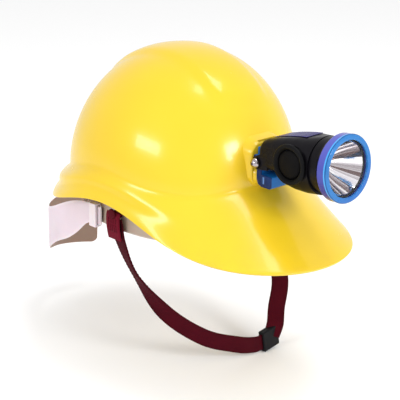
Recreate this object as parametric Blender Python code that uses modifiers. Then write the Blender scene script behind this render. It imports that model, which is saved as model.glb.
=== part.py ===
"""Miner's helmet with a cordless cap lamp, as an assembly of separate parts.

Frame: origin at the centre of the head opening, +Z up, -Y forward (towards the peak and the lamp),
+X towards the wearer's left. Sizes below are in millimetres and become metres in to_m().
"""

import bpy
import bmesh
import numpy as np
from math import atan2, cos, pi, radians, sin
from mathutils import Matrix, Vector

MM = 0.001
GAP = 0.3  # clearance between pieces that rest on each other

# ---------------------------------------------------------------- driving sizes, mm
# Shell. A ring list holds the value at the front, at 45, 90 and 135 degrees, and at the rear.
DOME_HALF_WIDTH = 95.5
DOME_FRONT = 103.5
DOME_REAR = 110.5
CROWN_HEIGHT = 148.5
PLAN_POWER = 2.13
PROFILE_POWER_R = 2.18
PROFILE_POWER_Z = 1.86
CREASE_HEIGHT = (47.0, 42.0, 56.0, 39.0, 34.0)
OVERHANG = (75.0, 28.0, 10.0, 16.5, 14.0)
RIM_HEIGHT = (-7.0, 2.0, 28.0, 9.0, 16.0)
SHELL_WALL = 2.6
CREST_HEIGHT = 2.6
CREST_HALF_WIDTH = 27.0
CREST_BOTTOM = 108.0

# Suspension inside the shell.
BAND_HALF_WIDTH = 79.0
BAND_FRONT = 90.0
BAND_REAR = 88.0
BAND_BOTTOM = -4.0
BAND_TALL = 25.0
BAND_WALL = 1.6
PAD_WALL = 3.0
NAPE_REACH = 156.0
NAPE_ARM_TALL = 16.0
NAPE_PAD_TALL = 44.0
NAPE_PAD_END = 22.0  # how far the tall pad runs past the middle towards the left
NAPE_DROP = 34.0
NAPE_START = 34.0  # where the strap begins to fall
NAPE_TAIL = 20.0  # where its two ends are
NAPE_TRAVEL = 14.0
WEB_WIDTH = 20.0
WEB_WALL = 1.2
LUG_WIDTH = 22.0

# Lamp, all of it on one axis that runs forward and is tipped up about the pivot.
LAMP_TILT = 3.1  # degrees
LAMP_AXIS_Z = 76.0
LAMP_REAR = 111.0  # distance forward of the origin
BODY_SPLIT = 170.0
BODY_FRONT = 186.0
REAR_HALF = 21.0
MOUTH = 24.6  # radius of the housing's round front end
MOUTH_DROP = 1.0  # how far that end hangs below the lamp's axis
BARREL_NECK = 23.4
BARREL_RADIUS = 26.0
# Rings of the housing: distance forward, half width, bottom and top from the axis, corner radius.
REAR_RINGS = (
    (LAMP_REAR, REAR_HALF - 6.5, -3.0, 4.0, 3.4),
    (LAMP_REAR + 0.4, REAR_HALF - 4.5, -5.4, 7.0, 5.0),
    (LAMP_REAR + 1.4, REAR_HALF - 2.4, -7.8, 10.0, 6.5),
    (LAMP_REAR + 3.0, REAR_HALF - 0.8, -9.2, 12.6, 7.0),
    (LAMP_REAR + 5.5, REAR_HALF - 0.2, -10.2, 14.8, 7.0),
)
BODY_RINGS = (
    (120.0, REAR_HALF, -10.8, 16.0, 7.0),
    (130.0, REAR_HALF + 0.6, -11.6, 18.2, 8.0),
    (134.0, REAR_HALF + 1.0, -15.2, 19.0, 9.0),
    (140.0, REAR_HALF + 1.6, -20.0, 20.0, 10.5),
    (150.0, REAR_HALF + 2.4, -23.0, 21.3, 14.0),
    (160.0, REAR_HALF + 3.2, -24.6, 22.0, 18.0),
    (BODY_SPLIT, MOUTH, -MOUTH - MOUTH_DROP, MOUTH - MOUTH_DROP, MOUTH),
)
BEZEL_BACK = 183.2
BEZEL_FRONT = 193.0
BEZEL_RADIUS = 28.5
BEZEL_LIP = 1.2
BARREL_BORE = 26.3
LENS_RADIUS = 24.5
LENS_WALL = 2.4
REFLECTOR_RADIUS = 23.4
REFLECTOR_DEPTH = 22.0
HOUSING_WALL = 2.2
PIVOT_FORWARD = 110.5
PIVOT_Z = 70.7
PIVOT_RADIUS = 2.0
LUG_RADIUS = 4.2
BOLT_HEAD = 4.5
EAR_INNER = 18.6
EAR_WALL = 3.0
BUTTON_FORWARD = 152.5
BUTTON_UP = 1.5
BUTTON_RADIUS = 12.0
BUTTON_TRAVEL = 1.6
COLLAR_FACE = 28.2
COLLAR_RADIUS = BUTTON_RADIUS + 5.0
COLLAR_BORE = BUTTON_RADIUS + 2.5
LABEL_HALF = 10.0

# Mount of the lamp on the shell.
BOSS_FACE = 104.5
BOSS_TOP = 84.0
SEAT_BOTTOM = 65.3  # below this the boss stands further out
CHIN_FACE = 108.4
POCKET_DEEP = 16.0
TONGUE_HALF = 10.5
TONGUE_WALL = 1.6
POCKET_WALL = 1.2
NECK_HALF = 5.0
BRACKET_WALL = 2.2
BRACKET_HALF = 18.0
FOOT_BOTTOM = 50.0
FOOT_FRONT = 125.5
FOOT_TOP = 60.6
WEB_FRONT = 114.0
SCREW_X = 10.0
SCREW_Z = 62.0
SCREW_RADIUS = 1.5
SCREW_START = 92.0

# Chin strap.
ANCHOR_X = BAND_HALF_WIDTH + 5.0
ANCHOR_Y = -4.0
ANCHOR_Z = 13.0
STRAP_WIDTH = 16.0
STRAP_WALL = 1.6
BUCKLE_AT = (46.0, -69.7, -123.2)
CRADLE_RISE = 78.0


def to_m(point):
    """A point or size in millimetres as metres."""
    return Vector(point) * MM


# ---------------------------------------------------------------- scene helpers
for old in list(bpy.data.objects):
    bpy.data.objects.remove(old, do_unlink=True)
parts = bpy.data.collections.new("miners_cap_lamp")
cutters = bpy.data.collections.new("cutters")
for made in (parts, cutters):
    bpy.context.scene.collection.children.link(made)


def material(name, colour, rough, metal=0.0, alpha=1.0):
    """A plain finish for a part."""
    made = bpy.data.materials.new(name)
    made.use_nodes = True
    shader = made.node_tree.nodes["Principled BSDF"]
    shader.inputs["Base Color"].default_value = (*colour, 1.0)
    shader.inputs["Roughness"].default_value = rough
    shader.inputs["Metallic"].default_value = metal
    shader.inputs["Alpha"].default_value = alpha
    made.diffuse_color = (*colour, alpha)
    return made


YELLOW = material("shell_yellow", (0.93, 0.62, 0.04), 0.25)
WHITE = material("band_white", (0.80, 0.76, 0.74), 0.45)
FOAM = material("sweatband_foam", (0.07, 0.07, 0.08), 0.85)
WEBBING = material("strap_maroon", (0.16, 0.01, 0.03), 0.8)
CRADLE = material("cradle_webbing", (0.62, 0.60, 0.56), 0.85)
BLACK = material("housing_black", (0.02, 0.02, 0.025), 0.4)
BLUE = material("bezel_blue", (0.02, 0.17, 0.55), 0.3)
LILAC = material("bezel_band", (0.25, 0.25, 0.75), 0.25, 0.6)
CHROME = material("chrome", (0.85, 0.85, 0.87), 0.1, 1.0)
STEEL = material("steel", (0.55, 0.56, 0.58), 0.35, 1.0)
RUBBER = material("rubber", (0.015, 0.015, 0.017), 0.7)
CLEAR = material("clear_lens", (0.9, 0.95, 1.0), 0.02, 0.0, 0.3)
BOARD = material("circuit_board", (0.02, 0.22, 0.10), 0.5)
ALUMINIUM = material("aluminium", (0.72, 0.73, 0.75), 0.35, 1.0)
CELL = material("cell_wrap", (0.10, 0.28, 0.45), 0.4)
PHOSPHOR = material("led_phosphor", (0.95, 0.85, 0.30), 0.5)
BRASS = material("contact_brass", (0.80, 0.60, 0.25), 0.3, 1.0)
LABEL = material("label_film", (0.12, 0.10, 0.30), 0.3)


def add_object(name, mesh, finish, group=parts):
    """Links a new object and gives it its finish."""
    obj = bpy.data.objects.new(name, mesh)
    group.objects.link(obj)
    if finish:
        mesh.materials.append(finish)
    return obj


def smooth(obj, angle=35):
    """Smooth shading with sharp edges kept."""
    obj.data.shade_smooth()
    obj.data.set_sharp_from_angle(angle=radians(angle))
    return obj


def mesh_from(bm, name):
    """A mesh data block from a finished bmesh."""
    mesh = bpy.data.meshes.new(name)
    bm.to_mesh(mesh)
    bm.free()
    return mesh


def box(name, low, high, finish, bevel=0.0, group=parts):
    """A box between two corners, with its edges rounded by a Bevel."""
    size = [h - l for l, h in zip(low, high)]
    centre = [(h + l) / 2 for l, h in zip(low, high)]
    bm = bmesh.new()
    bmesh.ops.create_cube(bm, size=1.0)
    bmesh.ops.scale(bm, vec=to_m(size), verts=bm.verts)
    obj = add_object(name, mesh_from(bm, name), finish, group)
    obj.location = to_m(centre)
    if bevel:
        add_bevel(obj, bevel)
    return obj


def add_bevel(obj, width, segments=2):
    """A rounded edge of the given width in millimetres."""
    bevel = obj.modifiers.new("Bevel", "BEVEL")
    bevel.width = width * MM
    bevel.segments = segments
    bevel.limit_method = "ANGLE"
    bevel.angle_limit = radians(40)
    return bevel


def cylinder(name, start, axis, radius, length, finish, sides=24, group=parts, end_radius=None):
    """A cylinder or cone that starts at a point and runs along an axis."""
    bm = bmesh.new()
    top = radius if end_radius is None else end_radius
    bmesh.ops.create_cone(
        bm, cap_ends=True, segments=sides, radius1=radius * MM, radius2=top * MM, depth=length * MM
    )
    bmesh.ops.translate(bm, vec=(0, 0, length * MM / 2), verts=bm.verts)
    obj = add_object(name, mesh_from(bm, name), finish, group)
    obj.rotation_euler = Vector(axis).to_track_quat("Z", "Y").to_euler()
    obj.location = to_m(start)
    if group is parts:
        smooth(obj)
    return obj


def turned(name, profile, origin, axis, finish, steps=36, group=parts):
    """A turned piece. The profile's points are (radius, height along the axis), outer side downwards."""
    mesh = bpy.data.meshes.new(name)
    points = [(r * MM, 0.0, h * MM) for r, h in profile]
    closed = profile[0][0] > 0
    links = [(i, i + 1) for i in range(len(points) - 1)]
    if closed:
        links.append((len(points) - 1, 0))
    mesh.from_pydata(points, links, [])
    obj = add_object(name, mesh, finish, group)
    screw = obj.modifiers.new("Screw", "SCREW")
    screw.steps = steps
    screw.render_steps = steps
    screw.use_merge_vertices = True
    screw.merge_threshold = 0.00001
    screw.use_smooth_shade = group is parts
    obj.rotation_euler = Vector(axis).to_track_quat("Z", "Y").to_euler()
    obj.location = to_m(origin)
    return obj


def loft(name, rings, finish, cap=True, group=parts):
    """A skin through rings of equal point counts, each an outline in millimetres."""
    bm = bmesh.new()
    rows = [[bm.verts.new(to_m(p)) for p in ring] for ring in rings]
    for low, high in zip(rows, rows[1:]):
        for i, vert in enumerate(low):
            j = (i + 1) % len(low)
            bm.faces.new((vert, low[j], high[j], high[i]))
    if cap:
        bm.faces.new(reversed(rows[0]))
        bm.faces.new(rows[-1])
    bmesh.ops.recalc_face_normals(bm, faces=bm.faces)
    return add_object(name, mesh_from(bm, name), finish, group)


def strip(name, edge_a, edge_b, wall, finish, closed=False, offset=0.0):
    """A band between two edges, given its wall by Solidify."""
    bm = bmesh.new()
    low = [bm.verts.new(to_m(p)) for p in edge_a]
    high = [bm.verts.new(to_m(p)) for p in edge_b]
    count = len(low) if closed else len(low) - 1
    for i in range(count):
        j = (i + 1) % len(low)
        bm.faces.new((low[i], low[j], high[j], high[i]))
    obj = add_object(name, mesh_from(bm, name), finish)
    thicken(obj, wall, offset)
    return smooth(obj, 50)


def thicken(obj, wall, offset):
    """Solidify by a wall in millimetres; offset -1 grows inwards, 0 both ways."""
    solid = obj.modifiers.new("Solidify", "SOLIDIFY")
    solid.thickness = wall * MM
    solid.offset = offset
    solid.use_even_offset = True
    return solid


def outline_plate(name, outline, thickness, finish, group=parts):
    """A flat plate: a filled 2D outline in its own XY plane, as thick as asked, made a mesh."""
    curve = bpy.data.curves.new(name, "CURVE")
    curve.dimensions = "2D"
    curve.fill_mode = "BOTH"
    curve.extrude = thickness * MM / 2
    spline = curve.splines.new("POLY")
    spline.points.add(len(outline) - 1)
    for point, (x, y) in zip(spline.points, outline):
        point.co = (x * MM, y * MM, 0.0, 1.0)
    spline.use_cyclic_u = True
    guide = bpy.data.objects.new(name + "_outline", curve)
    cutters.objects.link(guide)
    bpy.context.view_layer.update()
    graph = bpy.context.evaluated_depsgraph_get()
    mesh = bpy.data.meshes.new_from_object(guide.evaluated_get(graph))
    bpy.data.objects.remove(guide)
    bm = bmesh.new()
    bm.from_mesh(mesh)
    bmesh.ops.remove_doubles(bm, verts=bm.verts, dist=0.00001)
    bm.to_mesh(mesh)
    bm.free()
    return add_object(name, mesh, finish, group)


def boolean(obj, other, operation="DIFFERENCE"):
    """Cuts or joins with a hidden helper."""
    change = obj.modifiers.new(operation.title(), "BOOLEAN")
    change.operation = operation
    change.object = other
    change.solver = "EXACT"
    other.hide_render = True
    other.display_type = "WIRE"
    return obj


def rounded_rectangle(half_width, half_height, radius, steps=4):
    """Points of a rounded rectangle about the origin, anticlockwise."""
    points = []
    for corner in range(4):
        sx = 1 if corner in (0, 3) else -1
        sy = 1 if corner < 2 else -1
        for k in range(steps + 1):
            turn = (corner + k / steps) * pi / 2
            points.append(
                (
                    sx * (half_width - radius) + radius * cos(turn),
                    sy * (half_height - radius) + radius * sin(turn),
                )
            )
    return points


# ---------------------------------------------------------------- shell form
STATIONS = [radians(45 * k) for k in range(5)]
SERIES = np.linalg.inv([[cos(k * a) for k in range(5)] for a in STATIONS])


def ring_value(values, turn):
    """Smooth value round the shell through the five stations, the same on both sides."""
    terms = SERIES @ np.array(values)
    return float(sum(term * cos(k * turn) for k, term in enumerate(terms)))


def ease(low, high, value):
    """0 below low, 1 above high, smooth between."""
    t = min(1.0, max(0.0, (value - low) / (high - low)))
    return t * t * (3 - 2 * t)


def plan_radius(turn, half_width, front, rear, power=PLAN_POWER):
    """Distance from the axis to a superellipse; turn 0 is forward."""
    length = front if cos(turn) > 0 else rear
    return (abs(sin(turn) / half_width) ** power + abs(cos(turn) / length) ** power) ** (-1 / power)


def at(turn, radius, height):
    """A point from its turn about the axis, radius and height."""
    return (radius * sin(turn), -radius * cos(turn), height)


def dome_point(turn, t, grow=0.0):
    """A point of the dome: t 0 at the crown, 1 at the crease. grow moves it outwards."""
    base = plan_radius(turn, DOME_HALF_WIDTH, DOME_FRONT, DOME_REAR)
    crease = ring_value(CREASE_HEIGHT, turn)
    radius = base * sin(t * pi / 2) ** (2 / PROFILE_POWER_R)
    rise = max(cos(t * pi / 2), 0.0) ** (2 / PROFILE_POWER_Z)
    height = crease + (CROWN_HEIGHT - crease) * rise
    x, y, z = at(turn, radius, height)
    crest = CREST_HEIGHT * (1 - ease(CREST_HALF_WIDTH - 6, CREST_HALF_WIDTH + 6, abs(x)))
    crest *= ease(CREST_BOTTOM, CREST_BOTTOM + 14, z)
    out = Vector((x / base, y / base, (z - crease) / CROWN_HEIGHT + 0.15)).normalized()
    return Vector((x, y, z)) + out * (crest + grow)


def skirt_point(turn, u):
    """A point between the crease (u 0) and the rim (u 1)."""
    base = plan_radius(turn, DOME_HALF_WIDTH, DOME_FRONT, DOME_REAR)
    crease = ring_value(CREASE_HEIGHT, turn)
    rim = ring_value(RIM_HEIGHT, turn)
    over = ring_value(OVERHANG, turn)
    peak = ease(0.1, 0.85, cos(turn))
    gutter = 0.62 * ease(0.0, 0.45, u) + 0.38 * ease(0.55, 1.0, u)
    flare = peak * (0.25 * u * u + 0.75 * u) + (1 - peak) * gutter
    fall = u ** (1 + 0.15 * peak)
    return at(turn, base + over * flare, crease + (rim - crease) * fall)


def shell_rings(around, dome_rows, skirt_rows, inner=0.0):
    """Rings of the shell's outer skin from near the crown to the rim."""
    turns = [2 * pi * k / around for k in range(around)]
    rings = []
    for row in range(1, dome_rows + 1):
        rings.append([dome_point(turn, row / dome_rows, -inner) for turn in turns])
    for row in range(1, skirt_rows + 1):
        rings.append([skirt_point(turn, row / skirt_rows) for turn in turns])
    return rings


def dome_solid(name, grow, group=cutters):
    """A closed plug with the dome's outer form, used to fit pieces against the shell."""
    rings = [[dome_point(2 * pi * k / 64, row / 14, grow) for k in range(64)] for row in range(14, 0, -1)]
    below = [(p[0], p[1], -40.0) for p in rings[0]]
    obj = loft(name, [below] + rings, None, True, group)
    return obj


# ---------------------------------------------------------------- shell
def make_shell():
    """The yellow shell: dome, peak and rear gutter in one moulding."""
    rings = shell_rings(56, 12, 6)
    bm = bmesh.new()
    crown = bm.verts.new(to_m(dome_point(0.0, 0.0)))
    rows = [[bm.verts.new(to_m(p)) for p in ring] for ring in rings]
    count = len(rows[0])
    for i in range(count):
        bm.faces.new((crown, rows[0][i], rows[0][(i + 1) % count]))
    for upper, lower in zip(rows, rows[1:]):
        for i in range(count):
            j = (i + 1) % count
            bm.faces.new((upper[i], lower[i], lower[j], upper[j]))
    bmesh.ops.recalc_face_normals(bm, faces=bm.faces)
    if sum((f.normal.dot(f.calc_center_median()) for f in bm.faces)) < 0:
        bmesh.ops.reverse_faces(bm, faces=bm.faces)
    shell = add_object("shell", mesh_from(bm, "shell"), YELLOW)
    thicken(shell, SHELL_WALL, -1.0)
    for side in (-1, 1):
        hole = cylinder(
            f"boss_hole_{side}", (side * SCREW_X, -SCREW_START, SCREW_Z), (0, -1, 0),
            SCREW_RADIUS + GAP, 30.0, None, 12, cutters,
        )
        boolean(shell, hole)
    return smooth(shell, 40)


def make_boss():
    """The lamp boss: a soft rise on the front of the shell, with a seat and pocket for the bracket."""
    rings = []
    levels = (
        (84.0, 40.0, 38.0, BOSS_TOP + 14.0, 18.0), (93.0, 34.0, 41.0, BOSS_TOP + 10.0, 17.0),
        (100.0, 27.5, 44.5, BOSS_TOP + 4.5, 14.0), (BOSS_FACE - 1.3, 22.0, 47.0, BOSS_TOP + 1.5, 11.0),
        (BOSS_FACE, 19.0, 48.0, BOSS_TOP, 9.0), (BOSS_FACE, 18.0, 48.6, SEAT_BOTTOM, 7.0),
        (CHIN_FACE - 1.6, 17.6, 49.2, SEAT_BOTTOM - 0.7, 7.0),
        (CHIN_FACE, 15.5, 51.5, SEAT_BOTTOM - 3.0, 5.0),
    )
    for forward, half_width, low, high, corner in levels:
        outline = rounded_rectangle(half_width, (high - low) / 2, corner)
        rings.append([(x, -forward, (high + low) / 2 + z) for x, z in outline])
    boss = loft("lamp_boss", rings, YELLOW)
    plug = dome_solid("boss_plug", GAP)
    boolean(boss, plug)
    pocket = box(
        "boss_pocket",
        (-TONGUE_HALF - GAP, -BOSS_FACE + POCKET_WALL, BOSS_TOP - POCKET_DEEP),
        (TONGUE_HALF + GAP, -BOSS_FACE + POCKET_WALL + TONGUE_WALL + 2 * GAP, BOSS_TOP + 20),
        None, 0.0, cutters,
    )
    boolean(boss, pocket)
    neck = box(
        "boss_neck",
        (-NECK_HALF - GAP, -BOSS_FACE - 5, BOSS_TOP - POCKET_DEEP),
        (NECK_HALF + GAP, -BOSS_FACE + 2.5, BOSS_TOP + 20),
        None, 0.0, cutters,
    )
    boolean(boss, neck)
    for side in (-1, 1):
        hole = cylinder(
            f"boss_bore_{side}", (side * SCREW_X, -SCREW_START, SCREW_Z), (0, -1, 0),
            SCREW_RADIUS + GAP, BOSS_FACE - SCREW_START - 1.5, None, 12, cutters,
        )
        boolean(boss, hole)
    return boss


def make_boss_screws():
    """Two screws from inside the shell that hold the boss."""
    for side, word in ((-1, "right"), (1, "left")):
        start = dome_inner_y(side * SCREW_X, SCREW_Z) - 0.4
        length = BOSS_FACE - start - 2.2
        profile = [
            (0.0, length), (SCREW_RADIUS, length), (SCREW_RADIUS, 0.0),
            (3.0, 0.0), (2.6, -1.8), (0.0, -2.0),
        ]
        turned(f"boss_screw_{word}", profile, (side * SCREW_X, -start, SCREW_Z), (0, -1, 0), STEEL, 12)


def dome_inner_y(x, z):
    """How far forward the shell's inner face is at a height, for a point near the middle."""
    best = min(
        (dome_point(atan2(x, 100.0), k / 200, -SHELL_WALL) for k in range(100, 201)),
        key=lambda p: abs(p[2] - z),
    )
    return -best[1] - 0.6


# ---------------------------------------------------------------- suspension
def band_edge(height, half_width, front, rear, count=56):
    """A closed ring of points at one height."""
    turns = [2 * pi * k / count for k in range(count)]
    return [at(t, plan_radius(t, half_width, front, rear, 2.3), height) for t in turns]


def make_headband():
    """The headband, a closed ring of thin plastic with four lugs, and its sweatband."""
    top = BAND_BOTTOM + BAND_TALL
    strip(
        "headband",
        band_edge(BAND_BOTTOM, BAND_HALF_WIDTH, BAND_FRONT, BAND_REAR),
        band_edge(top, BAND_HALF_WIDTH - 1.5, BAND_FRONT - 1.5, BAND_REAR - 1.5),
        BAND_WALL, WHITE, closed=True,
    )
    inset = BAND_WALL / 2 + PAD_WALL / 2 + GAP + 1.9
    turns = [radians(-62 + 124 * k / 24) for k in range(25)]

    def edge(height):
        ring = (BAND_HALF_WIDTH - inset, BAND_FRONT - inset, BAND_REAR - inset)
        return [at(t, plan_radius(t, *ring, 2.3), height) for t in turns]

    pad = strip("sweatband", edge(BAND_BOTTOM - 1.5), edge(top + 1.0), PAD_WALL, FOAM)
    return pad


LUG_TURNS = {"front_right": -38, "front_left": 38, "rear_right": -142, "rear_left": 142}


def make_lugs():
    """Four hangers that carry the headband from the shell's inside wall."""
    for word, degrees in LUG_TURNS.items():
        turn = radians(degrees)
        outer = plan_radius(turn, DOME_HALF_WIDTH, DOME_FRONT, DOME_REAR) - SHELL_WALL - 2.4
        inner = plan_radius(turn, BAND_HALF_WIDTH, BAND_FRONT, BAND_REAR, 2.3) + BAND_WALL / 2 + 0.8
        normal = plan_normal(turn)
        side = Vector((-normal.y, normal.x, 0))
        low = BAND_BOTTOM + 6.0
        crease = ring_value(CREASE_HEIGHT, turn)
        rings = []
        levels = (
            (low, inner, 1.0), (low + 12.0, inner, 1.0),
            (crease - 2, outer - 3, 0.8), (crease + 10, outer - 5, 0.7),
        )
        for height, reach, share in levels:
            centre = Vector(at(turn, reach + 1.2, height))
            half = side * LUG_WIDTH / 2 * share
            deep = normal * 1.2
            rings.append(
                [centre - half - deep, centre + half - deep, centre + half + deep, centre - half + deep]
            )
        loft(f"lug_{word}", rings, WHITE)


def plan_normal(turn):
    """The outward direction of the headband's outline."""
    a = Vector(at(turn - 0.02, plan_radius(turn - 0.02, BAND_HALF_WIDTH, BAND_FRONT, BAND_REAR, 2.3), 0))
    b = Vector(at(turn + 0.02, plan_radius(turn + 0.02, BAND_HALF_WIDTH, BAND_FRONT, BAND_REAR, 2.3), 0))
    along = (b - a).normalized()
    return Vector((along.y, -along.x, 0))


def make_cradle():
    """Three crown straps that cross over the head between the hangers."""
    for index, degrees in enumerate((-38, 38, 90)):
        turn = radians(degrees)
        along = Vector(at(turn, 1.0, 0))
        side = Vector((-along.y, along.x, 0))
        reach_a = plan_radius(turn, BAND_HALF_WIDTH, BAND_FRONT, BAND_REAR, 2.3) - 5.5
        reach_b = plan_radius(turn + pi, BAND_HALF_WIDTH, BAND_FRONT, BAND_REAR, 2.3) - 5.5
        low = BAND_BOTTOM + BAND_TALL + 3.0
        rise = CRADLE_RISE + index * (WEB_WALL + 2.2)
        edges = ([], [])
        for k in range(21):
            a = pi * k / 20
            reach = reach_a if a < pi / 2 else reach_b
            point = along * reach * cos(a)
            height = low + rise * sin(a) ** 0.8
            centre = Vector((point.x, point.y, height))
            edges[0].append(centre - side * WEB_WIDTH / 2)
            edges[1].append(centre + side * WEB_WIDTH / 2)
        strip(f"crown_strap_{index + 1}", edges[0], edges[1], WEB_WALL, CRADLE)


def nape_path(turn):
    """Plan point of the nape strap; turn 90 degrees is the side, 180 the rear."""
    radius = plan_radius(turn, BAND_HALF_WIDTH + 2.6, BAND_FRONT, NAPE_REACH, 2.7)
    return at(turn, radius, 0.0)


def make_nape():
    """The nape strap: a tall pad behind, on the right-hand arm, and a narrow tail on the left."""
    first = atan2(BAND_HALF_WIDTH + 2.6, -NAPE_TAIL)
    turns = [first + (2 * pi - 2 * first) * k / 40 for k in range(41)]
    stop = pi - NAPE_PAD_END / NAPE_REACH
    turns = sorted(turns + [stop - 0.008, stop + 0.008, stop - 0.02, stop + 0.02])
    low, high = [], []
    for turn in turns:
        x, y, _ = nape_path(turn)
        along = (y - NAPE_START) / (NAPE_REACH - NAPE_START)
        top = 11.0 - NAPE_DROP * ease(0.02, 0.93, along)
        wing = ease(0.22, 0.72, along) if turn > stop else 0.0
        tall = NAPE_ARM_TALL + (NAPE_PAD_TALL - NAPE_ARM_TALL) * wing
        high.append((x, y, top))
        low.append((x, y, top - tall))
    strip("nape_strap", low, high, BAND_WALL, WHITE)
    for side, word in ((-1, "right"), (1, "left")):
        inner = BAND_HALF_WIDTH - 0.6
        keeper = box(
            f"nape_keeper_{word}", (inner, 24.0, -8.4), (inner + 6.6, 33.0, 13.4), WHITE, 0.4,
        )
        slot = box(
            f"keeper_slot_{word}", (inner + 0.8, 20.0, -6.6), (inner + 4.4, 40.0, 11.6), None, 0.0, cutters,
        )
        for piece in (keeper, slot):
            piece.location.x *= side
        boolean(keeper, slot)


# ---------------------------------------------------------------- chin strap
def strap_curve():
    """Centre points and width directions of the hanging strap, from the right anchor to the left."""
    knots = (
        ((-ANCHOR_X, ANCHOR_Y, ANCHOR_Z - 6), (0.0, -1.0, 0.0)),
        ((2.0 - ANCHOR_X, -8.0, -14.0), (-0.1, -1.0, 0.0)),
        ((10.0 - ANCHOR_X, -18.5, -44.0), (-0.3, -0.92, 0.15)),
        ((-54.0, -36.7, -80.5), (0.25, -0.5, 0.82)),
        ((-25.0, -55.5, -106.0), (0.15, -0.15, 0.97)),
        ((6.0, -66.2, -119.0), (0.0, 0.0, 1.0)),
        ((24.0, -69.2, -124.2), (0.0, 0.0, 1.0)),
        ((36.0, -69.7, -125.0), (-0.1, 0.0, 1.0)),
        ((56.0, -69.7, -121.4), (-0.17, 0.0, 1.0)),
    )
    centres = [Vector(point) for point, _ in knots]
    widths = [Vector(width).normalized() for _, width in knots]
    return centres, widths


def spline(points, per_span):
    """Points on a Catmull-Rom curve through the given ones."""
    padded = [points[0] * 2 - points[1]] + list(points) + [points[-1] * 2 - points[-2]]
    found = []
    for a, b, c, d in zip(padded, padded[1:], padded[2:], padded[3:]):
        for k in range(per_span):
            t = k / per_span
            found.append(
                0.5
                * (2 * b + (c - a) * t + (2 * a - 5 * b + 4 * c - d) * t**2 + (3 * b - a - 3 * c + d) * t**3)
            )
    found.append(points[-1].copy())
    return found


def web(name, centres, widths, finish, width=STRAP_WIDTH, wall=STRAP_WALL):
    """A webbing strap along a path, with a width direction at each point."""
    low, high = [], []
    for k, centre in enumerate(centres):
        ahead = centres[min(k + 1, len(centres) - 1)] - centres[max(k - 1, 0)]
        across = widths[k] - ahead.normalized() * widths[k].dot(ahead.normalized())
        across = across.normalized() * width / 2
        low.append(centre - across)
        high.append(centre + across)
    return strip(name, low, high, wall, finish)


def make_chin_strap():
    """The maroon strap in two lengths, its anchors and the slide buckle."""
    centres, widths = strap_curve()
    web("chin_strap_right", spline(centres, 6), spline(widths, 6), WEBBING)
    rise = [
        Vector((52.3, -71.2, BUCKLE_AT[2] + STRAP_WIDTH / 2 + 4.8)),
        Vector((61.0, -64.0, -99.0)),
        Vector((ANCHOR_X - 8.0, -53.2, -75.0)),
        Vector((ANCHOR_X - 1.0, -32.0, -38.0)),
        Vector((ANCHOR_X + 0.5, -14.0, -12.0)),
        Vector((ANCHOR_X, ANCHOR_Y, ANCHOR_Z - 6)),
    ]
    faces = [Vector(v).normalized() for v in ((0.8, -0.6, 0.1), (0.8, -0.6, 0.1), (0.6, -0.8, 0.0))]
    faces += [Vector(v).normalized() for v in ((0.2, -1.0, 0.0), (0.0, -1.0, 0.0), (0.0, -1.0, 0.0))]
    web("chin_strap_left", spline(rise, 5), spline(faces, 5), WEBBING)



# ---------------------------------------------------------------- lamp
def section(forward, half_width, bottom, top, corner, inset=0.0):
    """One ring of the lamp's body; bottom and top are measured from the lamp's axis."""
    half = (top - bottom) / 2 - inset
    middle = LAMP_AXIS_Z + (top + bottom) / 2
    radius = min(max(corner - inset, 1.0), half - 0.01, half_width - inset - 0.01)
    outline = rounded_rectangle(half_width - inset, half, radius, 4)
    return [(x, -forward, middle + z) for x, z in outline]


def make_rear_housing():
    """The battery housing, hollow and open to the front, with the two ears of the tilt pivot."""
    housing = loft("rear_housing", [section(*ring) for ring in REAR_RINGS + BODY_RINGS], BLACK)
    wall = HOUSING_WALL
    hollow = loft(
        "rear_hollow",
        [section(*ring, wall) for ring in BODY_RINGS]
        + [section(BODY_SPLIT + 2.0, *BODY_RINGS[-1][1:], wall)],
        None, True, cutters,
    )
    boolean(housing, hollow)
    notch = box(
        "pivot_notch", (-EAR_INNER + 0.1, -WEB_FRONT - 2.4, 50.0), (EAR_INNER - 0.1, -95.0, PIVOT_Z + 5.2),
        None, 0.0, cutters,
    )
    hang(notch)
    boolean(housing, notch)
    bore = cylinder(
        "switch_bore", (-40.0, -BUTTON_FORWARD, LAMP_AXIS_Z + BUTTON_UP), (1, 0, 0),
        COLLAR_BORE, 24.0, None, 32, cutters,
    )
    hang(bore)
    boolean(housing, bore)
    for side, word in ((-1, "right"), (1, "left")):
        ear = outline_plate(f"ear_{word}", ear_outline(), EAR_WALL, None, cutters)
        ear.rotation_euler = (pi / 2, 0, pi / 2)
        ear.location = to_m((side * (EAR_INNER + EAR_WALL / 2), -PIVOT_FORWARD, PIVOT_Z))
        hang(ear)
        boolean(housing, ear, "UNION")
        bore = cylinder(
            f"ear_bore_{word}", (side * (EAR_INNER - 3), -PIVOT_FORWARD, PIVOT_Z), (side, 0, 0),
            PIVOT_RADIUS + GAP, 12.0, None, 16, cutters,
        )
        hang(bore)
        boolean(housing, bore)
    hang(housing)
    hang(hollow)
    return smooth(housing)


def ear_outline():
    """An ear in its own plane, first number along +Y of the lamp, second up; the pivot at zero."""
    points = [(LUG_RADIUS * cos(a), LUG_RADIUS * sin(a)) for a in [radians(60 - 24 * k) for k in range(9)]]
    return [(-14.0, 9.0)] + points + [(-14.0, -2.5)]


def hang(obj):
    """Hangs an object on the lamp's pivot so it tilts with the lamp."""
    obj.parent = LAMP_FRAME
    obj.matrix_parent_inverse = Matrix.Translation(-to_m((0, -PIVOT_FORWARD, PIVOT_Z)))
    return obj


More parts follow.
